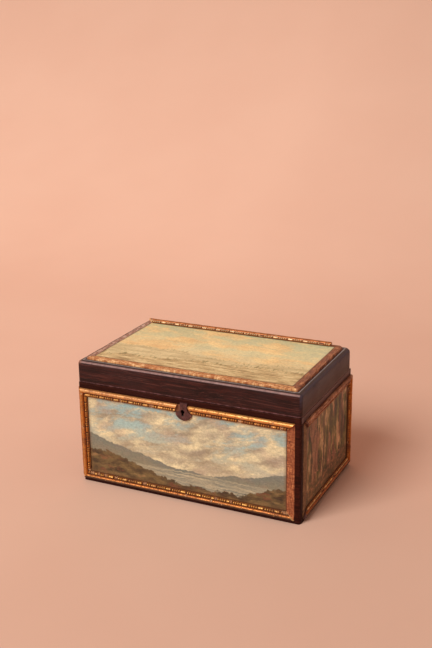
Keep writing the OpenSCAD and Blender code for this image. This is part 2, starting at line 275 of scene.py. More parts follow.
def wood(name, grain, lid=False):
    """Dark worn hardwood. grain is the axis along which the fibres run."""
    g = Graph(name)
    sx, sy, sz = {"X": (0.012, 0.42, 0.42), "Y": (0.42, 0.012, 0.42), "Z": (0.42, 0.42, 0.012)}[grain]
    warp = g.vscale(g.vm("SUBTRACT", g.noise(g.obj, 0.012, 2, 0.5, out=1), (0.5, 0.5, 0.5)), 9.0)
    p = g.vm("ADD", g.obj, warp)
    streak = g.noise(g.vm("MULTIPLY", p, (sx, sy, sz)), 1.0, 6, 0.62)
    fine = g.noise(g.vm("MULTIPLY", p, (sx * 5, sy * 5, sz * 5)), 1.0, 4, 0.6)
    pore = g.noise(g.vm("MULTIPLY", p, (sx * 9, sy * 9, sz * 9)), 1.0, 2, 0.5)
    blot = g.noise(g.obj, 0.022, 4, 0.6)
    col = g.ramp(streak, (0.34, srgb(24, 6, 5)), (0.47, srgb(42, 13, 11)), (0.58, srgb(60, 21, 17)), (0.7, srgb(86, 38, 30)))
    col = g.mix(g.line(fine, 0.35, 0.7, 0.0, 0.5), col, srgb(30, 9, 8))
    col = g.mix(g.line(blot, 0.45, 0.72, 0.0, 0.45), col, srgb(54, 26, 25))
    long = g.noise(g.vm("MULTIPLY", p, (sx * 0.6, sy * 1.7, sz * 1.7)), 1.0, 3, 0.7)
    col = g.mix(g.mul(g.step(long, 0.55, 0.65), 0.65), col, srgb(92, 52, 46))
    pores = g.step(pore, 0.58, 0.7)
    col = g.mix(g.mul(pores, 0.65), col, srgb(18, 9, 8))
    # rubbed arrises: near the upright corners and the lowest and highest edges
    dx = g.sub(HW, g.ab(g.x))
    dy = g.sub(HD, g.ab(g.y))
    corner = g.m("SQRT", g.add(g.mul(g.mx(dx, 0.0), g.mx(dx, 0.0)), g.mul(g.mx(dy, 0.0), g.mx(dy, 0.0))))
    # noise for rubbed wear and for the painted highlights on the lid below
    rub_and_gleam = g.noise(g.obj, 0.13, 5, 0.65)
    wear = g.mul(g.step(corner, 2.6, 0.6), g.line(rub_and_gleam, 0.46, 0.66, 0.0, 0.8))
    foot = g.mul(g.step(g.z, 1.6, 0.3), g.line(rub_and_gleam, 0.46, 0.62, 0.0, 0.6))
    wear = g.mx(wear, foot)
    # noise for the dust on the ledge and for the painted highlight line beside the panel's foot
    dust_and_gleam = g.noise(g.obj, 0.6, 5, 0.7)
    if lid:
        ledge = g.step(g.z, LEDGE - 1.2, LEDGE - 0.1)
        col = g.mix(g.mul(ledge, g.line(dust_and_gleam, 0.3, 0.7, 0.5, 0.95)), col, srgb(62, 52, 50))
        outer = g.mn(g.mx(dx, 0.0), g.mx(dy, 0.0))
        # painted highlight along the lid's shoulder, partly rubbed wear; weaker on the right side, which is turned away
        # from the light
        right = g.step(g.x, HW - 3.2, HW - 2.2)
        shoulder = g.mul(g.step(g.z, 152.2, 153.3), g.step(g.z, 155.0, 153.9))
        shoulder = g.mul(shoulder, g.step(outer, 2.6, 1.6))
        shoulder = g.mul(shoulder, g.sub(1.0, g.mul(right, 0.85)))
        col = g.mix(g.mul(shoulder, g.line(rub_and_gleam, 0.3, 0.56, 0.35, 0.9)), col, srgb(158, 116, 108))
        # painted highlight on the lid's front-left corner at the shoulder, broken up by noise
        corner_gleam = g.mul(g.step(g.x, -HW + 7.0, -HW + 2.0), g.step(g.y, -HD + 5.0, -HD + 1.0))
        corner_gleam = g.mul(corner_gleam, g.step(g.z, 150.5, 153.5))
        col = g.mix(g.mul(corner_gleam, g.line(rub_and_gleam, 0.35, 0.6, 0.5, 0.9)), col, srgb(142, 88, 62))
        # lighter right face of the lid: partly rubbed finish, partly painted reflection of the bright backdrop
        flank = g.mul(g.step(g.x, HW - 0.9, HW - 0.3), g.step(g.z, 155.0, 150.0))
        col = g.mix(g.mul(flank, g.line(blot, 0.3, 0.7, 0.35, 0.7)), col, srgb(74, 44, 36))
        # painted reflection: a blue-grey sheen on the upper part of the lid's right face
        flank_sheen = g.mul(g.step(g.x, HW - 3.6, HW - 1.2), g.step(g.z, 134.0, 151.0))
        col = g.mix(g.mul(flank_sheen, g.line(streak, 0.36, 0.6, 0.5, 0.95)), col, srgb(70, 62, 74))
        # painted highlight: a thin light line along the ledge beside the panel's foot
        foot_line = g.mx(g.sub(g.ab(g.x), PX), g.sub(g.ab(g.y), PY))
        here = g.add(1.5, g.mul(g.step(g.x, PX, PX - 4.0), 0.8))
        fine_line = g.mul(g.step(g.ab(g.sub(foot_line, here)), 0.9, 0.4), g.step(g.z, LEDGE - 1.0, LEDGE - 0.4))
        col = g.mix(g.mul(fine_line, g.line(dust_and_gleam, 0.35, 0.6, 0.3, 0.9)), col, srgb(176, 162, 158))
        # painted highlight along the lid's lower edge
        lip = g.mul(g.step(g.z, LID_Z + 1.9, LID_Z + 1.1), g.step(outer, 1.4, 0.6))
        lip = g.mul(lip, g.step(g.z, LID_Z + 0.1, LID_Z + 0.6))
        col = g.mix(g.mul(lip, g.line(rub_and_gleam, 0.42, 0.58, 0.15, 0.75)), col, srgb(134, 92, 96))
    else:
        lip = g.mul(g.step(g.z, RIM - 1.4, RIM - 0.2), g.step(g.mn(g.mx(dx, 0.0), g.mx(dy, 0.0)), 1.2, 0.1))
        wear = g.mx(wear, g.mul(lip, g.line(rub_and_gleam, 0.4, 0.6, 0.1, 0.7)))
        col = g.mix(0.62, col, srgb(42, 9, 2))
        post = g.mul(g.step(g.x, 133.0, 135.0), g.step(g.x, HW - 0.2, HW - 2.8))
        col = g.mix(g.mul(post, 0.6), col, g.ramp(streak, (0.4, srgb(38, 10, 3)), (0.6, srgb(68, 24, 12))))
        # painted light: the right face's band above the moulding is lightened to a greyish sheen
        over = g.mul(g.step(g.x, HW - 0.6, HW - 0.2), g.step(g.z, PZ1, PZ1 + 0.6))
        col = g.mix(g.mul(over, g.line(streak, 0.36, 0.6, 0.6, 0.95)), col, srgb(122, 98, 96))
        wear = g.mul(wear, 0.7)
    col = g.mix(g.mul(wear, 0.6), col, srgb(104, 62, 46))
    # the bare inside is paler and dry
    inx = g.step(g.sub(HW - 10 + 0.25, g.ab(g.x)), 0.0, 0.1)
    iny = g.step(g.sub(HD - 10 + 0.25, g.ab(g.y)), 0.0, 0.1)
    inz = g.mul(g.step(g.z, 6.5, 7.0), g.step(g.z, 149.6, 149.2))
    inside = g.mul(g.mul(inx, iny), inz)
    bare = g.ramp(streak, (0.25, srgb(92, 58, 38)), (0.5, srgb(124, 82, 54)), (0.75, srgb(150, 104, 70)))
    bare = g.mix(g.mul(pores, 0.5), bare, srgb(66, 40, 26))
    bare = g.mix(g.line(blot, 0.4, 0.75, 0.0, 0.45), bare, srgb(84, 54, 38))
    col = g.mix(inside, col, bare)
    h = g.add(g.mul(fine, 0.5), g.mul(pores, -0.6))
    h = g.add(h, g.mul(streak, 0.7))
    rough = g.add(g.line(blot, 0.3, 0.7, 0.36, 0.52), g.mul(inside, 0.25))
    return g.done(col, rough, g.bump(h, 0.55, 0.00022), spec=0.24 if lid else 0.1)


W_X = wood("wood_long", "X")
W_Y = wood("wood_cross", "Y")
L_X = wood("lid_wood_long", "X", True)
L_Y = wood("lid_wood_cross", "Y", True)

# ------------------------------------------------------------------ gilding


def gilding():
    """Worn gold over red bole. Mesh attributes: up, the height over the face
    from 0 to 1; dent, a hollow of the ornament; chip, a broken place; run and
    across, the place along and across the length in millimetres."""
    g = Graph("worn_gilding")
    up, dent, chip = g.attr("up"), g.attr("dent"), g.attr("chip")
    run, across = g.attr("run"), g.attr("across")
    n1 = g.noise(g.obj, 0.35, 6, 0.68)
    n2 = g.noise(g.obj, 1.7, 4, 0.6)
    n3 = g.noise(g.obj, 0.05, 3, 0.5)
    lay = g.noise(g.vec(g.mul(run, 0.07), g.mul(across, 0.9), 0.0), 1.0, 5, 0.65)
    gold = g.ramp(n1, (0.3, srgb(148, 78, 24)), (0.5, srgb(196, 116, 42)), (0.7, srgb(232, 162, 78)))
    gold = g.mix(g.line(n3, 0.4, 0.65, 0.0, 0.6), gold, srgb(178, 106, 44))
    gold = g.mix(g.mul(g.step(lay, 0.54, 0.68), 0.55), gold, srgb(136, 70, 24))
    tone, pale = g.attr("tone"), g.attr("pale")
    torus = g.step(across, 5.5, 5.0)
    gold = g.mix(g.mul(g.mul(g.mx(tone, 0.0), torus), g.line(n1, 0.35, 0.6, 0.5, 1.0)), gold, srgb(216, 148, 96))
    # painted highlight on the crown of the torus
    gold = g.mix(g.mul(g.mul(torus, g.step(up, 0.84, 0.97)), g.line(lay, 0.35, 0.6, 0.55, 0.1)), gold, srgb(246, 196, 122))
    # painted shade on the inner half of the torus, towards the bead row
    gold = g.mix(g.mul(g.mul(torus, g.step(across, 2.7, 4.7)), 0.65), gold, srgb(160, 80, 22))
    # painted shade on the torus of bottom mouldings, whose lower side faces away from the light
    gold = g.mix(g.mul(g.mul(g.attr("under"), torus), 0.35), gold, srgb(160, 86, 34))
    # painted highlight on the upper side of the torus, strongest on the top right piece, which is also less worn
    gloss = g.mul(g.attr("gloss"), torus)
    gold = g.mix(g.mul(gloss, g.step(across, 3.6, 2.2)), gold, g.ramp(lay, (0.4, srgb(240, 170, 98)), (0.62, srgb(208, 132, 62))))
    # painted highlights on the tops of the beads and bars, stronger and paler on pieces with a pale value
    crest = g.mul(g.mul(g.inv(torus), g.step(up, 0.5, 0.66)), g.inv(g.attr("soft")))
    gold = g.mix(g.mul(crest, g.line(n2, 0.3, 0.6, 0.85, 0.3)), gold, srgb(250, 202, 114))
    gold = g.mix(g.mul(crest, pale), gold, srgb(255, 238, 192))
    gold = g.mix(g.mul(g.mul(torus, pale), g.line(n1, 0.35, 0.6, 0.75, 0.45)), gold, srgb(140, 74, 42))
    lines = g.noise(g.vec(g.mul(run, 0.03), g.mul(across, 1.3), 7.0), 1.0, 2, 0.6)
    brown = g.ramp(lines, (0.4, srgb(90, 42, 28)), (0.5, srgb(154, 98, 68)), (0.6, srgb(214, 162, 130)))
    gold = g.mix(g.mx(g.mul(tone, -1.0), 0.0), gold, brown)
    gold = g.mix(g.mul(g.attr("soft"), 0.35), gold, g.ramp(lay, (0.4, srgb(150, 78, 22)), (0.6, srgb(236, 142, 58))))
    bole = g.ramp(n2, (0.3, srgb(92, 38, 16)), (0.6, srgb(140, 66, 28)), (0.8, srgb(176, 98, 50)))
    worn = g.mul(g.step(g.add(g.add(n1, g.mul(n2, 0.35)), g.mul(g.sub(n3, 0.5), 0.6)), 0.69, 0.8), 0.8)
    top = g.mul(g.step(up, 0.82, 1.0), g.step(n2, 0.5, 0.64))
    worn = g.mul(g.mul(g.mx(worn, g.mul(top, 0.45)), g.inv(g.mul(pale, 0.8))), g.inv(g.mul(gloss, 0.85)))
    col = g.mix(worn, gold, bole)
    cr = g.noise(g.vec(g.mul(run, 0.75), g.mul(across, 0.05), 3.3), 1.0, 3, 0.75)
    crack = g.mul(g.step(g.ab(g.sub(cr, 0.5)), 0.022, 0.006), g.step(g.noise(g.obj, 0.12, 2, 0.5), 0.42, 0.56))
    # darker colour in the low grooves, the hollows of the ornament, the cracks and along the outer edge
    deep = g.mx(g.mul(g.step(up, 0.46, 0.2), g.step(across, 3.6, 4.6)), g.mul(g.step(up, 0.14, 0.02), 0.6))
    dirt_and_shade = g.mx(g.mul(deep, 0.95), g.mul(g.mul(dent, g.inv(g.mul(g.attr("soft"), 0.5))), g.line(n2, 0.25, 0.6, 1.0, 0.85)))
    dirt_and_shade = g.mx(dirt_and_shade, g.mul(crack, 0.75))
    low = g.add(across, g.mul(g.sub(n1, 0.5), 1.6))
    # painted shade: on bottom mouldings the dark from the outer edge reaches over the lower half of the torus
    dirt_and_shade = g.mx(dirt_and_shade, g.step(g.sub(low, g.mul(g.attr("under"), 3.0)), 0.3, -0.9))
    col = g.mix(g.mul(dirt_and_shade, 0.92), col, srgb(50, 20, 6))
    chalk = g.step(n2, 0.5, 0.56)
    col = g.mix(chip, col, g.mix(chalk, srgb(150, 88, 50), srgb(222, 176, 128)))
    bare = g.attr("bare")
    col = g.mix(g.mx(bare, 0.0), col, g.mix(chalk, srgb(206, 142, 86), srgb(236, 186, 128)))
    col = g.mix(g.mx(g.mul(bare, -1.0), 0.0), col, srgb(80, 30, 20))
    shine = g.mul(g.mul(g.inv(worn), g.inv(g.mx(g.mx(dirt_and_shade, chip), g.ab(bare)))), g.sub(0.6, g.mul(g.ab(tone), 0.35)))
    rough = g.add(0.36, g.mul(g.mx(worn, dirt_and_shade), 0.3))
    h = g.sub(g.add(g.mul(n2, 0.6), g.mul(n1, 0.8)), g.mul(crack, 0.8))
    return g.done(col, rough, g.bump(h, 0.55, 0.00026), metallic=shine, spec=0.45)


GILT = gilding()

# ------------------------------------------------------------ metal and rust


def old_metal(name, dark, mid, light, metallic, rough, rust=0.4, lock_shade=0.95):
    g = Graph(name)
    n1 = g.noise(g.obj, 0.25, 6, 0.65)
    n2 = g.noise(g.obj, 1.4, 5, 0.6)
    scr = g.noise(g.vm("MULTIPLY", g.obj, (0.5, 4.0, 7.0)), 1.0, 3, 0.5)
    col = g.ramp(n1, (0.3, dark), (0.52, mid), (0.75, light))
    spot = g.mul(g.step(n2, 0.52, 0.66), rust)
    col = g.mix(spot, col, srgb(82, 46, 26))
    # painted shade inside the lock: its parts in the mortice are darkened and made less metallic, so the keyhole reads
    # dark
    deep = g.mul(g.step(g.y, -76.55, -76.75), g.step(g.z, 126.6, 126.4))
    deep = g.mul(deep, g.step(g.ab(g.sub(g.x, KX)), 27.0, 26.5))
    deep = g.mul(deep, g.step(g.y, -83.6, -83.4))
    col = g.mix(g.mul(deep, lock_shade), col, srgb(12, 7, 5))
    metallic = g.mul(metallic, g.inv(g.mul(deep, lock_shade)))
    h = g.add(n2, g.mul(scr, 0.4))
    return g.done(col, g.add(rough, g.mul(n1, 0.25)), g.bump(h, 0.35, 0.0001), metallic=g.mul(g.inv(spot), metallic))


BRASS = old_metal("aged_brass", srgb(120, 88, 44), srgb(164, 126, 66), srgb(196, 160, 92), 0.9, 0.28)
STEEL = old_metal("dull_steel", srgb(84, 78, 74), srgb(118, 112, 106), srgb(150, 146, 140), 0.9, 0.32, 0.7)
PLATE = old_metal("keyhole_plate", srgb(52, 24, 22), srgb(84, 42, 38), srgb(120, 68, 58), 0.1, 0.46, 0.35, 0.0)

# ----------------------------------------------------------- painted panels


def canvas(g, face):
    """Panel coordinates in millimetres, right and up, from the face's own
    frame, and the picture's bounds in them."""
    if face == "front":
        u, v, r = g.x, g.z, (FRONT[0] + MW, FRONT[1] - MW, PZ0 + MW, PZ1 - MW)
    elif face == "right":
        u, v, r = g.y, g.z, (RIGHT[0] + MW, RIGHT[1] - MW, PZ0 + MW, PZ1 - MW)
    elif face == "left":
        u, v, r = g.mul(g.y, -1.0), g.z, (LEFT[0] + MW, LEFT[1] - MW, PZ0 + MW, PZ1 - MW)
    elif face == "back":
        u, v, r = g.mul(g.x, -1.0), g.z, (BACK[0] + MW, BACK[1] - MW, PZ0 + MW, PZ1 - MW)
    else:
        u, v, r = g.x, g.y, (-PX + 8.5, PX - 8.5, -PY + 6.6, PY - 8.5)
    return u, v, r


TONES = {
    # face, side: dark, middle, light, grey mix, line scale along the strip
    ("lid", "bottom"): (srgb(132, 68, 32), srgb(196, 128, 74), srgb(246, 194, 138), srgb(184, 108, 58), 0.4),
    ("lid", "left"): (srgb(104, 64, 50), srgb(164, 112, 90), srgb(220, 180, 156), srgb(146, 104, 90), 0.5),
    ("lid", "right"): (srgb(92, 48, 30), srgb(150, 88, 56), srgb(196, 130, 90), srgb(120, 76, 62), 0.6),
    ("front", "right"): (srgb(108, 50, 24), srgb(158, 82, 44), srgb(200, 124, 76), srgb(138, 68, 38), 0.6),
    ("right", "left"): (srgb(96, 66, 40), srgb(132, 96, 64), srgb(170, 128, 92), srgb(118, 88, 60), 0.35),
}


def bare_strip(g, face, side, u, v):
    """Old wood and glue where a moulding came away."""
    dark, mid, light, grey, fleck = TONES[face, side]
    along, cross = (u, v) if side in ("top", "bottom") else (v, u)
    p = g.vec(u, v, 0.0)
    q = g.vec(g.mul(along, 0.11), g.mul(cross, 0.9), 0.0)
    n1 = g.noise(p, 0.07, 4, 0.6)
    n2 = g.noise(p, 0.42, 5, 0.68)
    n3 = g.noise(q, 1.0, 4, 0.65)
    n4 = g.noise(p, 1.9, 3, 0.6)
    t = g.add(g.mul(n2, 0.5), g.mul(n3, 0.5)) if face != "lid" else g.add(g.mul(n2, 0.35), g.mul(n3, 0.65))
    col = g.ramp(t, (0.41, dark), (0.5, mid), (0.58, light))
    col = g.mix(g.line(n1, 0.42, 0.62, 0.0, 0.6), col, grey)
    pits = g.step(n4, 0.4, 0.3)
    col = g.mix(g.mul(pits, fleck), col, srgb(78, 38, 22))
    if (face, side) == ("lid", "left"):
        scuff = g.step(g.noise(g.vec(g.mul(u, 0.3), g.mul(v, 0.12), 9.0), 1.0, 4, 0.65), 0.5, 0.6)
        col = g.mix(g.mul(scuff, 0.65), col, srgb(222, 186, 166))
        col = g.mix(g.mul(g.step(u, -PX + 2.4, -PX + 1.4), 0.85), col, srgb(84, 46, 34))
    # fine saw lines across the strip
    saw = g.noise(g.vec(g.mul(along, 0.9), g.mul(cross, 0.06), 5.0), 1.0, 3, 0.7)
    col = g.mix(g.mul(g.step(saw, 0.53, 0.64), 0.75 if face == "front" else 0.3), col, srgb(88, 40, 20))
    return col, g.add(g.add(g.mul(n2, 0.7), g.mul(n4, 0.35)), g.mul(saw, -0.3))


def finish_picture(g, face, col, u, v, rect):
    """Brushwork, old varnish, crackle, the bare border and the final shader."""
    x0, x1, y0, y1 = rect
    p = g.vec(u, v, 0.0)
    b1 = g.noise(g.vm("MULTIPLY", p, (0.25, 0.9, 1.0)), 1.0, 4, 0.65, 0.6)
    b2 = g.noise(g.vm("MULTIPLY", p, (0.9, 2.2, 1.0)), 1.0, 3, 0.6, 0.4)
    b3 = g.noise(g.vm("MULTIPLY", p, (0.3, 0.42, 1.0)), 1.0, 5, 0.8, 0.3)
    col = g.lighten(col, g.line(b1, 0.25, 0.75, 0.84, 1.15))
    col = g.lighten(col, g.line(b2, 0.25, 0.75, 0.88, 1.12))
    col = g.lighten(col, g.line(b3, 0.35, 0.65, 0.8, 1.16))
    fleck = g.noise(p, 0.46, 4, 0.75)
    col = g.mix(g.mul(g.step(fleck, 0.38, 0.3), 0.35), col, srgb(120, 92, 66))
    col = g.mix(g.mul(g.step(fleck, 0.64, 0.72), 0.35), col, srgb(236, 216, 176))
    age = g.noise(p, 0.016, 4, 0.6)
    col = g.mix(g.line(age, 0.42, 0.75, 0.0, 0.22), col, srgb(176, 140, 88))
    crack = g.voro(g.vm("ADD", p, g.vscale(g.noise(p, 0.3, 3, 0.6, out=1), 2.0)), 0.16, "DISTANCE_TO_EDGE")
    crack = g.mul(g.step(crack, 0.012, 0.002), g.step(g.noise(p, 0.03, 2, 0.5), 0.5, 0.62))
    col = g.mix(g.mul(crack, 0.4), col, srgb(96, 70, 44))
    # grime along the frame
    du = g.mn(g.sub(u, x0), g.sub(x1, u))
    dv = g.mn(g.sub(v, y0), g.sub(y1, v))
    d = g.mn(du, dv)
    wob = g.mul(g.sub(g.noise(p, 0.5, 4, 0.7), 0.5), 1.2)
    grime = g.step(g.add(d, wob), 4.5, 0.2)
    col = g.mix(g.mul(grime, 0.15 if face == "lid" else 0.45), col, srgb(120, 80, 44))
    sides = [k[1] for k in TONES if k[0] == face]
    strip, sh = (srgb(120, 70, 44), 0.5)
    off = {"left": g.sub(x0, u), "right": g.sub(u, x1), "bottom": g.sub(y0, v), "top": g.sub(v, y1)}
    for k in sides:
        c, hh = bare_strip(g, face, k, u, v)
        others = 0.0
        for j in off:
            if j != k:
                others = g.mx(off[j], others)
        here = g.step(g.sub(off[k], others), -0.35, 0.35)
        strip = g.mix(here, strip, c)
        sh = g.add(g.mul(g.inv(here), sh), g.mul(here, hh))
    border = g.step(g.add(d, g.mul(wob, 0.5)), 0.15, -0.25)
    edge = g.mul(g.step(g.ab(g.add(d, g.mul(wob, 0.5))), 0.8, 0.25), 0.85)
    col = g.mix(border, col, strip)
    col = g.mix(g.mul(edge, 0.3) if face == "right" else edge, col, srgb(74, 36, 18))
    if face == "front":
        col = g.mix(g.step(g.y, -HD + 0.15, -HD + 0.4), col, srgb(30, 15, 9))
    h = g.add(g.mul(b1, 1.0), g.mul(b2, 0.7))
    h = g.sub(h, g.mul(crack, 0.6))
    h = g.add(g.mul(h, g.inv(border)), g.mul(g.mul(sh, 2.2), border))
    rough = g.add(0.42, g.mul(border, 0.25))
    return g.done(col, rough, g.bump(h, 0.5, 0.0002), spec=0.4)


def wobble(g, u, v, amp, scale, seed):
    """Shifts u and v the way a loaded brush does."""
    n = g.noise(g.vec(u, v, seed), scale, 3, 0.6, out=1)
    s = g.tree.nodes.new("ShaderNodeSeparateColor")
    g.put(s.inputs[0], n)
    return (
        g.add(u, g.mul(g.sub(s.outputs[0], 0.5), amp)),
        g.add(v, g.mul(g.sub(s.outputs[1], 0.5), amp)),
    )


def fbm(g, u, v, su, sv, seed, detail=5, rough=0.55, dist=0.0):
    return g.noise(g.vec(g.mul(u, su), g.mul(v, sv), seed), 1.0, detail, rough, dist)


def front_picture():
    """Hills round a bay under a streaked sky: a plain made-up view."""
    g = Graph("front_picture")
    u, v, r = canvas(g, "front")
    uu, vv = wobble(g, u, v, 5.0, 0.16, 3.1)
    V = g.div(g.sub(vv, r[2]), r[3] - r[2])
    U = g.div(g.sub(uu, r[0]), r[1] - r[0])
    sky = g.ramp(V, (0.3, srgb(204, 182, 148)), (0.5, srgb(188, 182, 156)), (0.72, srgb(166, 184, 174)), (1.0, srgb(148, 176, 174)))
    # streaked cloud banks, slanting down to the left
    t = g.add(vv, g.mul(uu, -0.16))
    c1 = fbm(g, uu, t, 0.016, 0.05, 1.7, 6, 0.6, 0.4)
    c2 = fbm(g, uu, t, 0.04, 0.085, 8.2, 4, 0.55, 0.3)
    c = g.add(c1, g.mul(g.sub(c2, 0.5), 0.45))
    cloud = g.step(c, 0.38, 0.54)
    lit = g.ramp(c2, (0.36, srgb(158, 138, 112)), (0.46, srgb(188, 168, 136)), (0.56, srgb(214, 194, 154)), (0.66, srgb(240, 216, 168)))
    col = g.mix(g.mul(cloud, 0.92), sky, lit)
    under = g.mul(g.step(c, 0.54, 0.68), g.step(c2, 0.56, 0.42))
    col = g.mix(g.mul(under, 0.7), col, srgb(152, 136, 120))
    mauve = g.step(fbm(g, uu, vv, 0.03, 0.045, 27.7, 4), 0.52, 0.68)
    col = g.mix(g.mul(mauve, 0.4), col, srgb(176, 146, 128))
    # far hills, rising at both ends
    bend = g.mul(g.m("POWER", g.ab(g.sub(U, 0.56)), 1.6), 0.72)
    far = g.add(g.add(0.255, bend), g.mul(g.sub(fbm(g, uu, 0.0, 0.022, 0.0, 4.4, 4), 0.5), 0.16))
    m1 = g.step(g.sub(V, far), 0.006, -0.006)
    haze = g.ramp(g.div(V, far), (0.6, srgb(142, 126, 102)), (1.0, srgb(122, 118, 108)))
    haze = g.mix(g.line(fbm(g, uu, vv, 0.08, 0.2, 2.2), 0.35, 0.65, 0.0, 0.5), haze, srgb(112, 118, 100))
    col = g.mix(m1, col, haze)
    # the bay
    m2 = g.step(g.sub(V, 0.235), 0.004, -0.004)
    water = g.ramp(fbm(g, uu, vv, 0.02, 0.6, 6.1, 4), (0.35, srgb(128, 124, 108)), (0.55, srgb(166, 152, 126)), (0.7, srgb(196, 176, 142)))
    col = g.mix(m2, col, water)
    # near slopes, from the left and a headland on the right
    near = g.add(g.mul(g.step(U, 0.52, 0.05), 0.24), 0.075)
    near = g.add(near, g.mul(g.sub(fbm(g, uu, 0.0, 0.05, 0.0, 9.3, 5), 0.5), 0.1))
    head = g.add(g.mul(g.step(U, 0.72, 1.0), 0.2), 0.05)
    head = g.add(head, g.mul(g.sub(fbm(g, uu, 0.0, 0.07, 0.0, 5.9, 5), 0.5), 0.12))
    near = g.mx(near, head)
    bush = g.mul(g.sub(fbm(g, uu, vv, 0.16, 0.2, 7.7, 4, 0.6), 0.5), 0.13)
    m3 = g.step(g.sub(V, g.add(near, bush)), 0.006, -0.006)
    earth = g.ramp(fbm(g, uu, vv, 0.06, 0.16, 3.3, 6, 0.65), (0.34, srgb(42, 28, 20)), (0.46, srgb(78, 56, 36)), (0.57, srgb(108, 84, 50)), (0.7, srgb(148, 108, 70)))
    red = g.step(fbm(g, uu, vv, 0.05, 0.14, 6.6, 4), 0.54, 0.66)
    earth = g.mix(g.mul(red, 0.6), earth, srgb(128, 64, 46))
    earth = g.mix(g.mul(g.step(g.sub(g.add(near, bush), V), 0.05, 0.0), 0.45), earth, srgb(92, 74, 52))
    col = g.mix(m3, col, earth)
    return finish_picture(g, "front", col, u, v, r)


def lid_picture():
    """Dunes and a strand under a low yellow sky."""
    g = Graph("lid_picture")
    u, v, r = canvas(g, "lid")
    uu, vv = wobble(g, u, v, 5.0, 0.14, 5.3)
    V = g.div(g.sub(vv, r[2]), r[3] - r[2])
    U = g.div(g.sub(uu, r[0]), r[1] - r[0])
    sky = g.ramp(V, (0.35, srgb(234, 208, 156)), (0.6, srgb(226, 210, 158)), (1.0, srgb(200, 194, 148)))
    t = g.add(vv, g.mul(uu, 0.07))
    c1 = fbm(g, uu, t, 0.02, 0.04, 11.7, 6, 0.6, 0.3)
    c2 = fbm(g, uu, t, 0.04, 0.1, 18.2, 5, 0.6, 0.2)
    c = g.add(c1, g.mul(g.sub(c2, 0.5), 0.4))
    col = g.mix(g.mul(g.step(c, 0.44, 0.62), 0.9), sky, g.ramp(c2, (0.35, srgb(232, 184, 124)), (0.65, srgb(255, 216, 150))))
    col = g.mix(g.mul(g.step(c, 0.44, 0.36), 0.35), col, srgb(186, 188, 154))
    # dunes: three lines that cross
    d1 = g.add(0.36, g.mul(g.sub(fbm(g, uu, 0.0, 0.014, 0.0, 14.4, 3), 0.5), 0.34))
    m1 = g.step(g.sub(V, d1), 0.008, -0.008)
    s1 = g.ramp(fbm(g, uu, vv, 0.03, 0.2, 12.2), (0.35, srgb(196, 172, 124)), (0.65, srgb(232, 206, 154)))
    col = g.mix(m1, col, s1)
    d2 = g.add(g.add(0.16, g.mul(U, 0.14)), g.mul(g.sub(fbm(g, uu, 0.0, 0.024, 0.0, 16.4, 4), 0.5), 0.22))
    m2 = g.step(g.sub(V, d2), 0.008, -0.008)
    s2 = g.ramp(fbm(g, uu, vv, 0.04, 0.25, 15.2, 5, 0.6), (0.34, srgb(156, 126, 84)), (0.5, srgb(206, 176, 124)), (0.64, srgb(238, 210, 156)))
    col = g.mix(m2, col, s2)
    # tufts of grass on the crests
    tuft = g.mul(g.step(g.ab(g.sub(V, d2)), 0.05, 0.01), g.step(fbm(g, uu, vv, 0.3, 0.09, 17.1, 4, 0.6), 0.52, 0.62))
    col = g.mix(g.mul(tuft, 0.75), col, srgb(118, 108, 62))
    tuft = g.mul(g.step(g.ab(g.sub(V, d1)), 0.035, 0.005), g.step(fbm(g, uu, vv, 0.4, 0.12, 19.1, 4, 0.6), 0.54, 0.62))
    col = g.mix(g.mul(tuft, 0.6), col, srgb(138, 128, 80))
    return finish_picture(g, "lid", col, u, v, r)


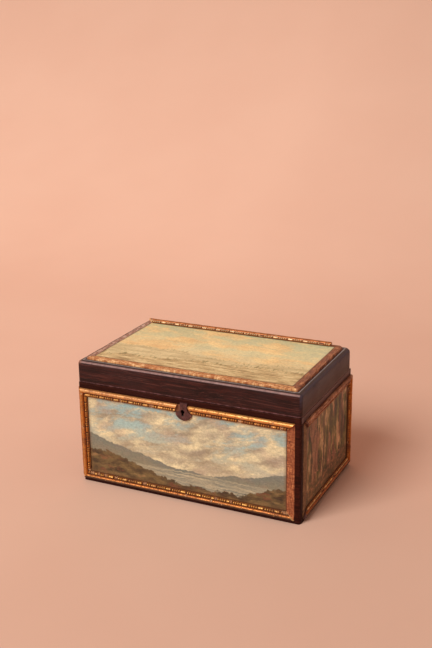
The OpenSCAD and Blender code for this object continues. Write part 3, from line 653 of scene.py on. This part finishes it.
def wood_glade(face, seed):
    """Trunks and leaves, no figures."""
    g = Graph(face + "_picture")
    u, v, r = canvas(g, face)
    uu, vv = wobble(g, u, v, 5.0, 0.18, seed)
    V = g.div(g.sub(vv, r[2]), r[3] - r[2])
    brush = fbm(g, uu, vv, 0.12, 0.028, seed + 1, 5, 0.62)
    mass = fbm(g, uu, vv, 0.03, 0.024, seed + 2, 3, 0.5)
    t = g.add(brush, g.mul(g.sub(mass, 0.5), 0.9))
    col = g.ramp(t, (0.38, srgb(30, 30, 10)), (0.46, srgb(78, 78, 30)), (0.54, srgb(122, 108, 56)), (0.62, srgb(206, 168, 122)))
    rose = g.mul(g.step(fbm(g, uu, vv, 0.1, 0.018, seed + 21, 3, 0.5), 0.53, 0.59), g.step(V, 0.05, 0.2))
    col = g.mix(g.mul(rose, 0.75), col, g.ramp(brush, (0.4, srgb(120, 62, 44)), (0.6, srgb(204, 138, 108))))
    # far trunks, then near trunks
    for k, (su, lo, hi, c1, c2) in enumerate((
        (0.11, 0.56, 0.6, srgb(52, 36, 20), srgb(92, 66, 40)),
        (0.05, 0.555, 0.585, srgb(128, 78, 56), srgb(204, 146, 112)),
    )):
        lean = g.add(uu, g.mul(g.sub(fbm(g, 0.0, vv, 0.0, 0.022, seed + 5 + k, 3), 0.5), 22.0))
        t = fbm(g, lean, vv, su, 0.006, seed + 3 + k, 2, 0.4)
        foot = g.step(V, 0.1 + 0.05 * k, 0.2)
        shade = g.mul(g.mul(g.step(t, lo - 0.06, lo), foot), 0.5)
        col = g.mix(shade, col, srgb(46, 36, 16))
        trunk = g.mul(g.step(t, lo, hi), foot)
        bark = g.mix(g.line(fbm(g, uu, vv, 0.16, 0.05, seed + 9), 0.38, 0.62, 0.0, 1.0), c1, c2)
        col = g.mix(g.mul(trunk, 0.65), col, bark)
    # leaves and dull pink blossom
    leaf = g.step(fbm(g, uu, vv, 0.14, 0.16, seed + 11, 5, 0.7), 0.54, 0.6)
    leaf = g.mul(leaf, g.step(V, 0.35, 0.75))
    col = g.mix(g.mul(leaf, 0.75), col, g.ramp(fbm(g, uu, vv, 0.3, 0.3, seed + 12, 3), (0.4, srgb(50, 48, 24)), (0.6, srgb(122, 112, 58))))
    ground = g.step(g.add(V, g.mul(g.sub(fbm(g, uu, vv, 0.08, 0.1, seed + 13, 5), 0.5), 0.25)), 0.26, 0.16)
    col = g.mix(g.mul(ground, 0.85), col, g.ramp(fbm(g, uu, vv, 0.07, 0.22, seed + 14, 5, 0.65), (0.38, srgb(54, 44, 24)), (0.5, srgb(100, 76, 44)), (0.62, srgb(160, 108, 72))))
    bloom = g.mul(g.step(fbm(g, uu, vv, 0.22, 0.26, seed + 15, 4, 0.65), 0.585, 0.64), g.step(V, 0.6, 0.3))
    col = g.mix(g.mul(bloom, 0.8), col, srgb(214, 142, 116))
    col = g.lighten(col, g.line(fbm(g, u, v, 0.3, 0.07, seed + 31, 4, 0.7), 0.36, 0.64, 0.55, 1.4))
    return finish_picture(g, face, col, u, v, r)


# ------------------------------------------------------------ mesh helpers

FACES = {
    "front": lambda p: np.stack([p[:, 0], -HD - p[:, 2], p[:, 1]], 1),
    "right": lambda p: np.stack([HW + p[:, 2], p[:, 0], p[:, 1]], 1),
    "left": lambda p: np.stack([-HW - p[:, 2], -p[:, 0], p[:, 1]], 1),
    "back": lambda p: np.stack([-p[:, 0], HD + p[:, 2], p[:, 1]], 1),
    "lid": lambda p: np.stack([p[:, 0], p[:, 1], TOP + p[:, 2]], 1),
}


def vnoise(p, scale, seed=0.0, octaves=3):
    """Smooth noise from about -1 to 1 at each row of p, in millimetres."""
    out = np.empty(len(p))
    for i, q in enumerate(p):
        out[i] = noise.fractal(
            Vector((q[0] * scale + seed, q[1] * scale - seed, q[2] * scale + 2 * seed)), 1.0, 2.0, octaves
        )
    return out


def make(name, verts, faces, mat, body, node=None, attrs=None, smooth=40.0):
    me = bpy.data.meshes.new(name)
    me.from_pydata((np.asarray(verts) * MM).tolist(), [], [list(map(int, f)) for f in faces])
    me.validate()
    for k, a in (attrs or {}).items():
        at = me.attributes.new(k, "FLOAT", "POINT")
        at.data.foreach_set("value", np.asarray(a, dtype=np.float32))
    bm = bmesh.new()
    bm.from_mesh(me)
    bmesh.ops.recalc_face_normals(bm, faces=bm.faces)
    bm.to_mesh(me)
    bm.free()
    me.shade_smooth()
    me.set_sharp_from_angle(angle=math.radians(smooth))
    ob = bpy.data.objects.new(name, me)
    bpy.context.scene.collection.objects.link(ob)
    me.materials.append(mat)
    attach(ob, body)
    if node:
        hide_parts(node)
    return ob


def tube_faces(rows, cols):
    """Quads of a closed tube of rows sections with cols points, and its caps."""
    f = []
    for i in range(rows - 1):
        for j in range(cols):
            k = (j + 1) % cols
            f.append((i * cols + j, i * cols + k, (i + 1) * cols + k, (i + 1) * cols + j))
    f.append(tuple(range(cols - 1, -1, -1)))
    f.append(tuple((rows - 1) * cols + j for j in range(cols)))
    return f


# ---------------------------------------------------------------- mouldings

PITCH = 2.75
BAR = 7.4
PERIOD = BAR + 4 * PITCH + 1.2


def ornament(s, u):
    """Height of the bead-and-bar row at s along and u across, before wear."""
    t = s % PERIOD
    du = (u - 6.85 * MW / 9) / (1.34 * MW / 9)
    best = -1.0
    if t < BAR + 0.4:
        e = max(0.0, abs(t - BAR / 2) - (BAR / 2 - 1.2)) / 1.25
        q = 1.0 - du * du - e * e
        best = q
    for k in range(4):
        c = BAR + 0.9 + PITCH * (k + 0.5)
        q = 1.0 - du * du - ((t - c) / 1.3) ** 2
        best = max(best, q)
    return math.sqrt(best) if best > 0 else 0.0


def section():
    """Points across the moulding: distance from the outer edge, height."""
    pts = [(0.0, 0.0), (0.0, 0.9)]
    for k in range(9):  # the smooth torus
        a = math.radians(168 - k * 18)
        pts.append((2.45 + 2.42 * math.cos(a), 1.35 + 2.42 * math.sin(a)))
    pts = [p for p in pts if p[1] >= 0]
    pts += [(4.95, 1.0), (5.3, 0.85)]
    pts += [(5.3 + 0.31 * k, None) for k in range(1, 11)]  # the bead row
    pts += [(8.55, 0.95), (8.62, 1.35), (8.95, 1.35), (9.0, 1.0), (9.0, 0.0)]
    return [(u * MW / 9, h) for u, h in pts]


def moulding(name, face, origin, turn, length, m0, m1, body, seed, gaps=(), tone=0.0, pale=0.0, under=0.0, sawn=1.0, soft=0.0, gloss=0.0, tip=0.0):
    """One length of gilt moulding. origin is its outer edge's start in the
    face's frame, turn its direction in quarter turns."""
    sec = section()
    cols = len(sec)
    n = max(8, int(round(length / 0.42)))
    st = np.concatenate([[0.0, 0.03], np.linspace(0, length, n + 1)[1:-1], [length - 0.03, length]])
    n = len(st) - 1
    rnd = np.random.default_rng(seed)
    off = rnd.uniform(0, PERIOD)
    breaks = [(rnd.uniform(6, length - 6), rnd.uniform(1.2, 3.2)) for _ in range(max(1, int(length / 45)))]
    breaks += list(gaps)
    scuffs = [(rnd.uniform(3, length - 3), rnd.uniform(0.6, 1.6)) for _ in range(max(2, int(length / 30)))]
    verts, up, dent, chip, run, across, bare = [], [], [], [], [], [], []
    for s in st:
        for i, (u, h) in enumerate(sec):
            x = s
            if m0 and s < 14:
                x = m0 * u + s * (14 - m0 * u) / 14
            if m1 and s > length - 14:
                x = length - m1 * u - (length - s) * (14 - m1 * u) / 14
            low = 0.0
            if h is None:
                o = ornament(x + off, u)
                h = 0.8 + 1.95 * o
                low = 1.0 - min(1.0, o * 1.5)
            elif 4.9 < u * 9 / MW < 5.4 or 8.5 < u * 9 / MW < 8.6:
                low = 1.0
            c = 0.0
            if h > 1.0:
                for b, w in breaks:
                    d = abs(x - b - 0.5 * math.sin(u * 2.1 + b)) / w
                    if d < 1 and u > 5.0:
                        k = min(1.0, (1 - d) * 3)
                        h = h * (1 - k) + 0.95 * k
                        c = max(c, k)
                for b, w in scuffs:
                    d = math.hypot(x - b, (u - 3.4 - math.sin(b) * 1.6)) / w
                    if d < 1:
                        k = min(1.0, (1 - d) * 2.5)
                        h -= 0.55 * k
                        c = max(c, k)
            verts.append((x, u, h))
            up.append(h / MH)
            dent.append(low)
            chip.append(c)
            run.append(x + seed * 61.7)
            across.append(u * 9 / MW)
            bare.append(tip if tip and s > length - 4.5 else sawn if s in (0.0, length) else 0.0)
    v = np.array(verts)
    wob = vnoise(v * (1, 1, 0) + seed * 7.1, 0.16, seed * 0.37, 3)
    wob2 = vnoise(v * (1, 1, 0) + seed * 3.3, 0.75, seed * 0.11, 2)
    top = v[:, 2] > 0.5
    v[:, 2] = np.where(top, np.clip(v[:, 2] + 0.16 * wob + 0.09 * wob2 - 0.05, 0.4, MH), v[:, 2])
    a = turn * math.pi / 2
    x, y = v[:, 0].copy(), v[:, 1].copy()
    v[:, 0] = origin[0] + x * math.cos(a) - y * math.sin(a)
    v[:, 1] = origin[1] + x * math.sin(a) + y * math.cos(a)
    return make(
        name + "_carved", FACES[face](v), tube_faces(n + 1, cols), GILT, body, name,
        {"up": up, "dent": dent, "chip": chip, "run": run, "across": across, "bare": bare,
         "tone": np.full(len(v), tone), "pale": np.full(len(v), pale), "under": np.full(len(v), under),
         "soft": np.full(len(v), soft), "gloss": np.full(len(v), gloss)}, 50,
    )


def bottom(name, face, r, y, m0=1, m1=1, seed=1, body="box", **k):
    moulding(name, face, (r[0], y), 0, r[1] - r[0], m0, m1, body, seed, **k)


def top_(name, face, r, y, m0=1, m1=1, seed=1, body="box", **k):
    moulding(name, face, (r[1], y), 2, r[1] - r[0], m0, m1, body, seed, **k)


def left_(name, face, x, seed=1, **k):
    moulding(name, face, (x, PZ1), 3, PZ1 - PZ0, 1, 1, "box", seed, **k)


def right_(name, face, x, seed=1, **k):
    moulding(name, face, (x, PZ0), 1, PZ1 - PZ0, 1, 1, "box", seed, **k)


# Bottom pieces get painted shade on their lower side; the top right piece gets the strongest painted highlight on its
# torus.
left_("front_moulding_left", "front", FRONT[0], 1, soft=0.75)
bottom("front_moulding_bottom", "front", FRONT, PZ0, seed=2, under=1.12, gaps=((9.0, 7.0), (262.0, 3.2), (266.5, 2.4)))
top_("front_moulding_top_left", "front", (FRONT[0], KX + 1.3 - 8.3), PZ1, 0.4, 1, seed=3, tone=0.8, gloss=0.3, soft=0.2)
top_("front_moulding_top_right", "front", (KX + 1.3 + 5.9, FRONT[1]), PZ1, 1, 0.4, seed=4, tone=0.2, gloss=1.0, soft=0.6)
top_("right_moulding_top", "right", RIGHT, PZ1, seed=5, tone=-0.9, sawn=0.0, soft=0.4, tip=-0.8)
bottom("right_moulding_bottom", "right", RIGHT, PZ0, seed=6, under=1.2, sawn=-0.8, pale=0.35)
right_("right_moulding_back", "right", RIGHT[1], 7, soft=0.5)
top_("left_moulding_top", "left", LEFT, PZ1, seed=8)
bottom("left_moulding_bottom", "left", LEFT, PZ0, seed=9, under=1.0)
right_("left_moulding_front", "left", LEFT[1], 10)
left_("left_moulding_back", "left", LEFT[0], 11)
top_("back_moulding_top", "back", BACK, PZ1, seed=12)
bottom("back_moulding_bottom", "back", BACK, PZ0, seed=13, under=1.0)
right_("back_moulding_left", "back", BACK[1], 14)
left_("back_moulding_right", "back", BACK[0], 15)
top_("lid_moulding_back", "lid", (-PX, PX - 15.0), PY, 0, 1, seed=16, body="lid", pale=0.85)

# ------------------------------------------------------------------- panels


def grid_lines(a, b, dense, fine, coarse):
    """Positions from a to b, close together within dense of each end."""
    lo = np.arange(a, a + dense, fine)
    hi = np.arange(b, b - dense, -fine)[::-1]
    n = max(2, int((b - a - 2 * dense) / coarse))
    mid = np.linspace(a + dense, b - dense, n + 1)
    return np.unique(np.round(np.concatenate([lo, mid, hi]), 4))


def panel(node, face, x, y, thick, mat, body, height, lost, edge=0.5, seed=1, round_to=None):
    """Panel as a closed slab whose upper side is modelled: broken glue beds
    where a moulding is lost, gently uneven paint elsewhere."""
    gx = grid_lines(x[0], x[1], 10.5, 0.7, 4.0)
    gy = grid_lines(y[0], y[1], 10.5, 0.7, 4.0)
    nx, ny = len(gx), len(gy)
    X, Y = np.meshgrid(gx, gy, indexing="ij")
    P = np.stack([X.ravel(), Y.ravel(), np.zeros(X.size)], 1)
    d = {
        "left": P[:, 0] - x[0], "right": x[1] - P[:, 0],
        "bottom": P[:, 1] - y[0], "top": y[1] - P[:, 1],
    }
    n1 = vnoise(P, 0.32, seed, 4)
    n2 = vnoise(P, 1.1, seed + 3.7, 2)
    bed = np.zeros(len(P))
    for k in lost:
        w = MW - 0.5
        inside = np.clip((w - d[k]) / 0.6, 0, 1) * np.clip(d[k] / 0.5, 0, 1)
        bed = np.maximum(bed, inside)
    z = 0.05 * n1 * (1 - bed)
    z += bed * (0.16 + 0.32 * np.clip(n1, -0.5, 1) + 0.16 * n2)
    e = np.minimum.reduce(list(d.values()))
    rim = np.clip(1 - e / edge, 0, 1)
    z -= edge * (1 - np.sqrt(np.clip(1 - rim**2, 0, 1)))
    z = np.minimum(z, 0.55)
    P[:, 2] = z
    if round_to:  # rounded corners in plan, only inwards
        R = np.where((P[:, 0] > 0) & (P[:, 1] > 0), round_to[0], round_to[1])
        dx, dy = np.abs(P[:, 0]) - (x[1] - R), np.abs(P[:, 1]) - (y[1] - R)
        inc = (dx > 0) & (dy > 0)
        k = np.where(inc, np.maximum(dx, dy) / np.maximum(np.hypot(dx, dy), 1e-6), 1.0)
        P[:, 0] = np.where(inc, np.sign(P[:, 0]) * (x[1] - R + dx * k), P[:, 0])
        P[:, 1] = np.where(inc, np.sign(P[:, 1]) * (y[1] - R + dy * k), P[:, 1])
    base = P.copy()
    base[:, 2] = -thick
    V = np.concatenate([P, base])
    idx = np.arange(nx * ny).reshape(nx, ny)
    f = []
    for i in range(nx - 1):
        for j in range(ny - 1):
            f.append((idx[i, j], idx[i + 1, j], idx[i + 1, j + 1], idx[i, j + 1]))
    off = nx * ny
    ring = list(idx[:, 0]) + list(idx[-1, 1:]) + list(idx[-2::-1, -1]) + list(idx[0, -2:0:-1])
    for a, b in zip(ring, ring[1:] + ring[:1]):
        f.append((a, b, b + off, a + off))
    f.append(tuple(int(k) + off for k in ring))
    # the underside is one flat face: only its outline points are kept
    used = np.zeros(len(V), bool)
    for q in f:
        used[list(q)] = True
    new = np.cumsum(used) - 1
    f = [tuple(new[k] for k in q) for q in f]
    V = V[used]
    V[:, 2] += height
    return make(node + "_painted", FACES[face](V), f, mat, body, node, smooth=50)


FRONT_PANEL = panel("front_panel", "front", FRONT, (PZ0, PZ1), 2.0, front_picture(), "box", 0.0, ("right",), 0.25, 1)
panel("right_panel", "right", RIGHT, (PZ0, PZ1), 2.0, wood_glade("right", 21.0), "box", 0.0, ("left",), 0.25, 2)
panel("left_panel", "left", LEFT, (PZ0, PZ1), 2.0, wood_glade("left", 47.0), "box", 0.0, (), 0.25, 3)
panel("back_panel", "back", BACK, (PZ0, PZ1), 2.0, wood_glade("back", 71.0), "box", 0.0, (), 0.25, 4)
panel("lid_panel", "lid", (-PX, PX), (-PY, PY), 3.1, lid_picture(), "lid", 0.0, ("left", "right", "bottom"), 1.1, 5, (7.0, 2.0))

# ---------------------------------------------------------------- lid rails


def rail(node, start, turn, length, mat):
    """A mitred lid rail with its shoulder, ledge, rebate and rubbed arris."""
    H = LEDGE - LID_Z
    r = 4.0
    sec = [(0.8, 0.0), (0.3, 0.2), (0.0, 0.75)]
    sec += [(0.0, h) for h in (3, 6, 9, 12, 15, 18, 20.5)]
    for k in range(0, 11):
        a = math.radians(k * 9)
        sec.append((r - r * math.cos(a), H - r + r * math.sin(a)))
    sec += [(6.0, H), (7.6, H), (8.0, H), (8.0, H - 6.0), (10.0, H - 6.0), (10.0, 14.0), (10.0, 7.0), (10.0, 0.4), (9.6, 0.0), (5.0, 0.0)]
    cols = len(sec)
    V = []
    st = grid_lines(0.0, length, 9.0, 0.9, 2.6)
    n = len(st) - 1
    for s in st:
        for u, h in sec:
            x = s
            if s < 20:
                x = u + s * (20 - u) / 20
            if s > length - 20:
                x = length - u - (length - s) * (20 - u) / 20
            V.append((x, u, h))
    V = np.array(V)
    a = turn * math.pi / 2
    x, y = V[:, 0].copy(), V[:, 1].copy()
    V[:, 0] = start[0] + x * math.cos(a) - y * math.sin(a)
    V[:, 1] = start[1] + x * math.sin(a) + y * math.cos(a)
    V[:, 2] += LID_Z
    # round the upright corners and wear the arrises, only inwards
    ax, ay = np.abs(V[:, 0]), np.abs(V[:, 1])
    R = np.where((V[:, 0] > 0) & (V[:, 1] > 0), 7.4, np.where(V[:, 0] > 0, 4.0, 3.0))
    dx, dy = ax - (HW - R), ay - (HD - R)
    inc = (dx > 0) & (dy > 0)
    k = np.where(inc, np.maximum(dx, dy) / np.maximum(np.hypot(dx, dy), 1e-6), 1.0)
    V[:, 0] = np.where(inc, np.sign(V[:, 0]) * (HW - R + dx * k), V[:, 0])
    V[:, 1] = np.where(inc, np.sign(V[:, 1]) * (HD - R + dy * k), V[:, 1])
    nz = vnoise(V, 0.045, 3.0, 3)
    outer = (np.maximum(ax - HW, ay - HD) > -5) & (V[:, 2] > LID_Z + 2)
    high = np.clip((V[:, 2] - 148) / 6, 0, 1)
    amt = np.where(outer, (0.1 + 0.35 * high) * np.clip(nz + 0.25, 0, 1), 0)
    V[:, 0] -= np.sign(V[:, 0]) * np.where(ax > HW - 5, amt, 0)
    V[:, 1] -= np.sign(V[:, 1]) * np.where(ay > HD - 5, amt, 0)
    V[:, 2] -= np.where((V[:, 2] > LEDGE - 2), 0.5 * amt, 0)
    return V, tube_faces(n + 1, cols)


def clean_copy(node, bevels, mat, name=None, tail="_worn"):
    """A copy of a CAD node's mesh with chosen edges rounded. bevels is a list
    of (test on the two ends in millimetres, radius, segments)."""
    src = NODE[node]
    bm = bmesh.new()
    bm.from_mesh(src.data)
    bmesh.ops.remove_doubles(bm, verts=bm.verts, dist=2e-6)
    bmesh.ops.dissolve_limit(bm, angle_limit=math.radians(0.6), verts=bm.verts, edges=bm.edges)
    for test, radius, seg in bevels:
        es = []
        for e in bm.edges:
            if len(e.link_faces) != 2 or e.calc_face_angle(0) < math.radians(25):
                continue
            a, b = e.verts[0].co * 1000, e.verts[1].co * 1000
            if test(a, b):
                es.append(e)
        if es:
            bmesh.ops.bevel(bm, geom=es, offset=radius * MM, segments=seg, profile=0.5, affect="EDGES", clamp_overlap=True)
    me = bpy.data.meshes.new(node + tail)
    bm.to_mesh(me)
    bm.free()
    me.shade_smooth()
    me.set_sharp_from_angle(angle=math.radians(35))
    me.materials.clear()
    me.materials.append(mat)
    ob = bpy.data.objects.new(node + tail, me)
    bpy.context.scene.collection.objects.link(ob)
    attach(ob, src["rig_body"])
    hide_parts(node)
    return ob


V, F = rail("lid_left_rail", (-HW, HD), 3, 2 * HD, L_Y)
make("lid_left_rail_worn", V, F, L_Y, "lid", "lid_left_rail", smooth=32)
V, F = rail("lid_right_rail", (HW, -HD), 1, 2 * HD, L_Y)
make("lid_right_rail_worn", V, F, L_Y, "lid", "lid_right_rail", smooth=32)
V, F = rail("lid_front_rail", (-HW, -HD), 0, 2 * HW, L_X)
FRONT_RAIL = make("lid_front_rail_worn", V, F, L_X, "lid", "lid_front_rail", smooth=32)
V, F = rail("lid_back_rail", (HW, HD), 2, 2 * HW, L_X)
BACK_RAIL = make("lid_back_rail_worn", V, F, L_X, "lid", "lid_back_rail", smooth=32)


def cut(ob, lo=None, hi=None, cyl=None, outline=None):
    """Takes a box, a cylinder along X or a prism along Y out of a mesh."""
    bm = bmesh.new()
    if outline is not None:
        pts, y0, y1 = outline
        f = bm.faces.new([bm.verts.new(Vector((x, y0, z)) * MM) for x, z in pts])
        e = bmesh.ops.extrude_face_region(bm, geom=[f])
        bmesh.ops.translate(bm, verts=[v for v in e["geom"] if isinstance(v, bmesh.types.BMVert)], vec=(0, (y1 - y0) * MM, 0))
        bmesh.ops.recalc_face_normals(bm, faces=bm.faces)
    elif lo is not None:
        bmesh.ops.create_cube(bm, size=1.0)
        lo, hi = Vector(lo) * MM, Vector(hi) * MM
        for v in bm.verts:
            v.co = Vector([(lo[i] + hi[i]) / 2 + v.co[i] * (hi[i] - lo[i]) for i in range(3)])
    else:
        (x0, x1, y, z, r) = cyl
        bmesh.ops.create_cone(bm, cap_ends=True, segments=48, radius1=r * MM, radius2=r * MM, depth=(x1 - x0) * MM)
        bmesh.ops.rotate(bm, verts=bm.verts, matrix=Matrix.Rotation(math.pi / 2, 3, "Y"))
        bmesh.ops.translate(bm, verts=bm.verts, vec=Vector(((x0 + x1) / 2, y, z)) * MM)
    me = bpy.data.meshes.new("cutter")
    bm.to_mesh(me)
    bm.free()
    tool = bpy.data.objects.new("cutter", me)
    bpy.context.scene.collection.objects.link(tool)
    mod = ob.modifiers.new("cut", "BOOLEAN")
    mod.operation, mod.solver, mod.object = "DIFFERENCE", "EXACT", tool
    bpy.context.view_layer.update()
    dg = bpy.context.evaluated_depsgraph_get()
    new = bpy.data.meshes.new_from_object(ob.evaluated_get(dg), depsgraph=dg)
    ob.modifiers.clear()
    ob.data = new
    bpy.data.objects.remove(tool)


KEYHOLE = [(KX + 2.5 * math.sin(math.radians(a)), KZ + 2.5 * math.cos(math.radians(a))) for a in range(0, 145, 6)]
KEYHOLE = [p for p in KEYHOLE if p[0] >= KX + 1.5 or p[1] > KZ] + [(KX + 1.5, KZ - 5.6)]
KEYHOLE += [(2 * KX - x, z) for x, z in reversed(KEYHOLE[1:])]
cut(FRONT_PANEL, outline=(KEYHOLE, -90.0, -82.0))
cut(FRONT_RAIL, (KX - 26, -82.2, LID_Z - 1), (KX + 26, -75.4, LID_Z + 1.2))
for s in (-85.0, 85.0):
    cut(BACK_RAIL, (s - 15, 77.5, LID_Z - 1), (s + 15, 90, LID_Z + 1.2))
    cut(BACK_RAIL, cyl=(s - 15.3, s + 15.3, 87.0, 128.15, 2.9))

# ------------------------------------------------------------------ carcase


def upright(cx, cy, tol=0.05):
    """Test for an upright outer corner edge."""
    return lambda a, b: (
        abs(a.x - cx) < tol and abs(b.x - cx) < tol and abs(a.y - cy) < tol and abs(b.y - cy) < tol
    )


def level(z, tol=0.05):
    return lambda a, b: abs(a.z - z) < tol and abs(b.z - z) < tol


def outer_level(z):
    def test(a, b):
        if abs(a.z - z) > 0.05 or abs(b.z - z) > 0.05:
            return False
        for p, q in ((a, b),):
            if abs(abs(p.x) - HW) < 0.05 and abs(abs(q.x) - HW) < 0.05 and abs(p.x - q.x) < 0.1:
                return True
            if abs(abs(p.y) - HD) < 0.05 and abs(abs(q.y) - HD) < 0.05 and abs(p.y - q.y) < 0.1:
                return True
        return False

    return test


clean_copy("front_board", [(upright(HW, -HD), 3.4, 6), (upright(-HW, -HD), 1.5, 4), (outer_level(RIM), 0.6, 3)], W_X)
clean_copy("back_board", [(upright(HW, HD), 1.2, 3), (upright(-HW, HD), 1.2, 3), (outer_level(RIM), 0.6, 3)], W_X)
clean_copy("left_board", [(outer_level(RIM), 0.6, 3)], W_Y)
clean_copy("right_board", [(outer_level(RIM), 0.6, 3)], W_Y)
clean_copy(
    "bottom_board",
    [(upright(HW, -HD), 3.4, 6), (upright(-HW, -HD), 3.6, 5), (upright(HW, HD), 1.8, 4), (upright(-HW, HD), 1.8, 4),
     (outer_level(0.0), 0.8, 3), (outer_level(4.0), 0.4, 2)], W_X,
)
clean_copy("lid_top_board", [], L_X)
clean_copy("escutcheon", [(lambda a, b: a.y < -87.3 and b.y < -87.3, 0.45, 3)], PLATE)

# ----------------------------------------------------------------- metalware

for n in ("lock_case", "link_plate", "lock_screws", "body_hinge_screws", "lid_hinge_screws", "link_plate_screws",
          "hinge_left_body_leaf", "hinge_right_body_leaf", "hinge_left_lid_leaf", "hinge_right_lid_leaf"):
    o = NODE[n]
    o.data.materials.clear()
    o.data.materials.append(BRASS)
for n in ("lock_bolt", "lock_spring", "lock_key_pin", "hinge_left_pin", "hinge_right_pin"):
    o = NODE[n]
    o.data.materials.clear()
    o.data.materials.append(STEEL)

# --------------------------------------------------------------- stage, light


def stage():
    g = Graph("paper_floor")
    n = g.noise(g.obj, 0.004, 3, 0.5)
    col = g.mix(g.line(n, 0.35, 0.65, 0.0, 1.0), srgb(229, 181, 157), srgb(231, 184, 160))
    shade = g.mul(g.line(g.y, -500.0, 900.0, 0.89, 1.0), g.line(g.z, 0.0, 600.0, 1.0, 0.8))
    col = g.lighten(col, g.mul(shade, g.line(g.x, -450.0, 600.0, 1.09, 0.86)))
    mat = g.done(col, 0.9, spec=0.1)
    V, F = [], []
    xs = np.linspace(-9000, 9000, 19)
    prof = [(-9000, 0.0), (-4000, 0.0), (-1000, 0.0), (0, 0.0), (600, 0.0)]
    for k in range(1, 17):
        a = k / 16 * math.pi / 2
        prof.append((600 + 1300 * math.sin(a), 1300 - 1300 * math.cos(a)))
    prof.append((1900, 5000))
    for y, z in prof:
        for x in xs:
            V.append((x, y, z))
    for i in range(len(prof) - 1):
        for j in range(len(xs) - 1):
            a = i * len(xs) + j
            F.append((a, a + 1, a + len(xs) + 1, a + len(xs)))
    me = bpy.data.meshes.new("floor")
    me.from_pydata((np.array(V) * MM).tolist(), [], F)
    me.shade_smooth()
    me.materials.append(mat)
    ob = bpy.data.objects.new("floor", me)
    bpy.context.scene.collection.objects.link(ob)


stage()


def area(name, where, target, size, power, color=(1, 1, 1)):
    d = bpy.data.lights.new(name, "AREA")
    d.shape = "RECTANGLE"
    d.size, d.size_y = size
    d.energy = power
    d.color = color
    o = bpy.data.objects.new(name, d)
    o.location = where
    o.rotation_mode = "QUATERNION"
    o.rotation_quaternion = (Vector(target) - Vector(where)).to_track_quat("-Z", "Y")
    bpy.context.scene.collection.objects.link(o)


area("key", (-2.1, -5.4, 5.15), (0, 0, 0.06), (4.0, 4.0), 555, (0.94, 1.0, 1.0))
world = bpy.data.worlds.new("studio")
world.use_nodes = True
bg = world.node_tree.nodes["Background"]
bg.inputs[0].default_value = (1.0, 0.86, 0.78, 1.0)
bg.inputs[1].default_value = 0.39
bpy.context.scene.world = world
bpy.context.scene.view_settings.view_transform = "Standard"
bpy.context.scene.view_settings.look = "None"
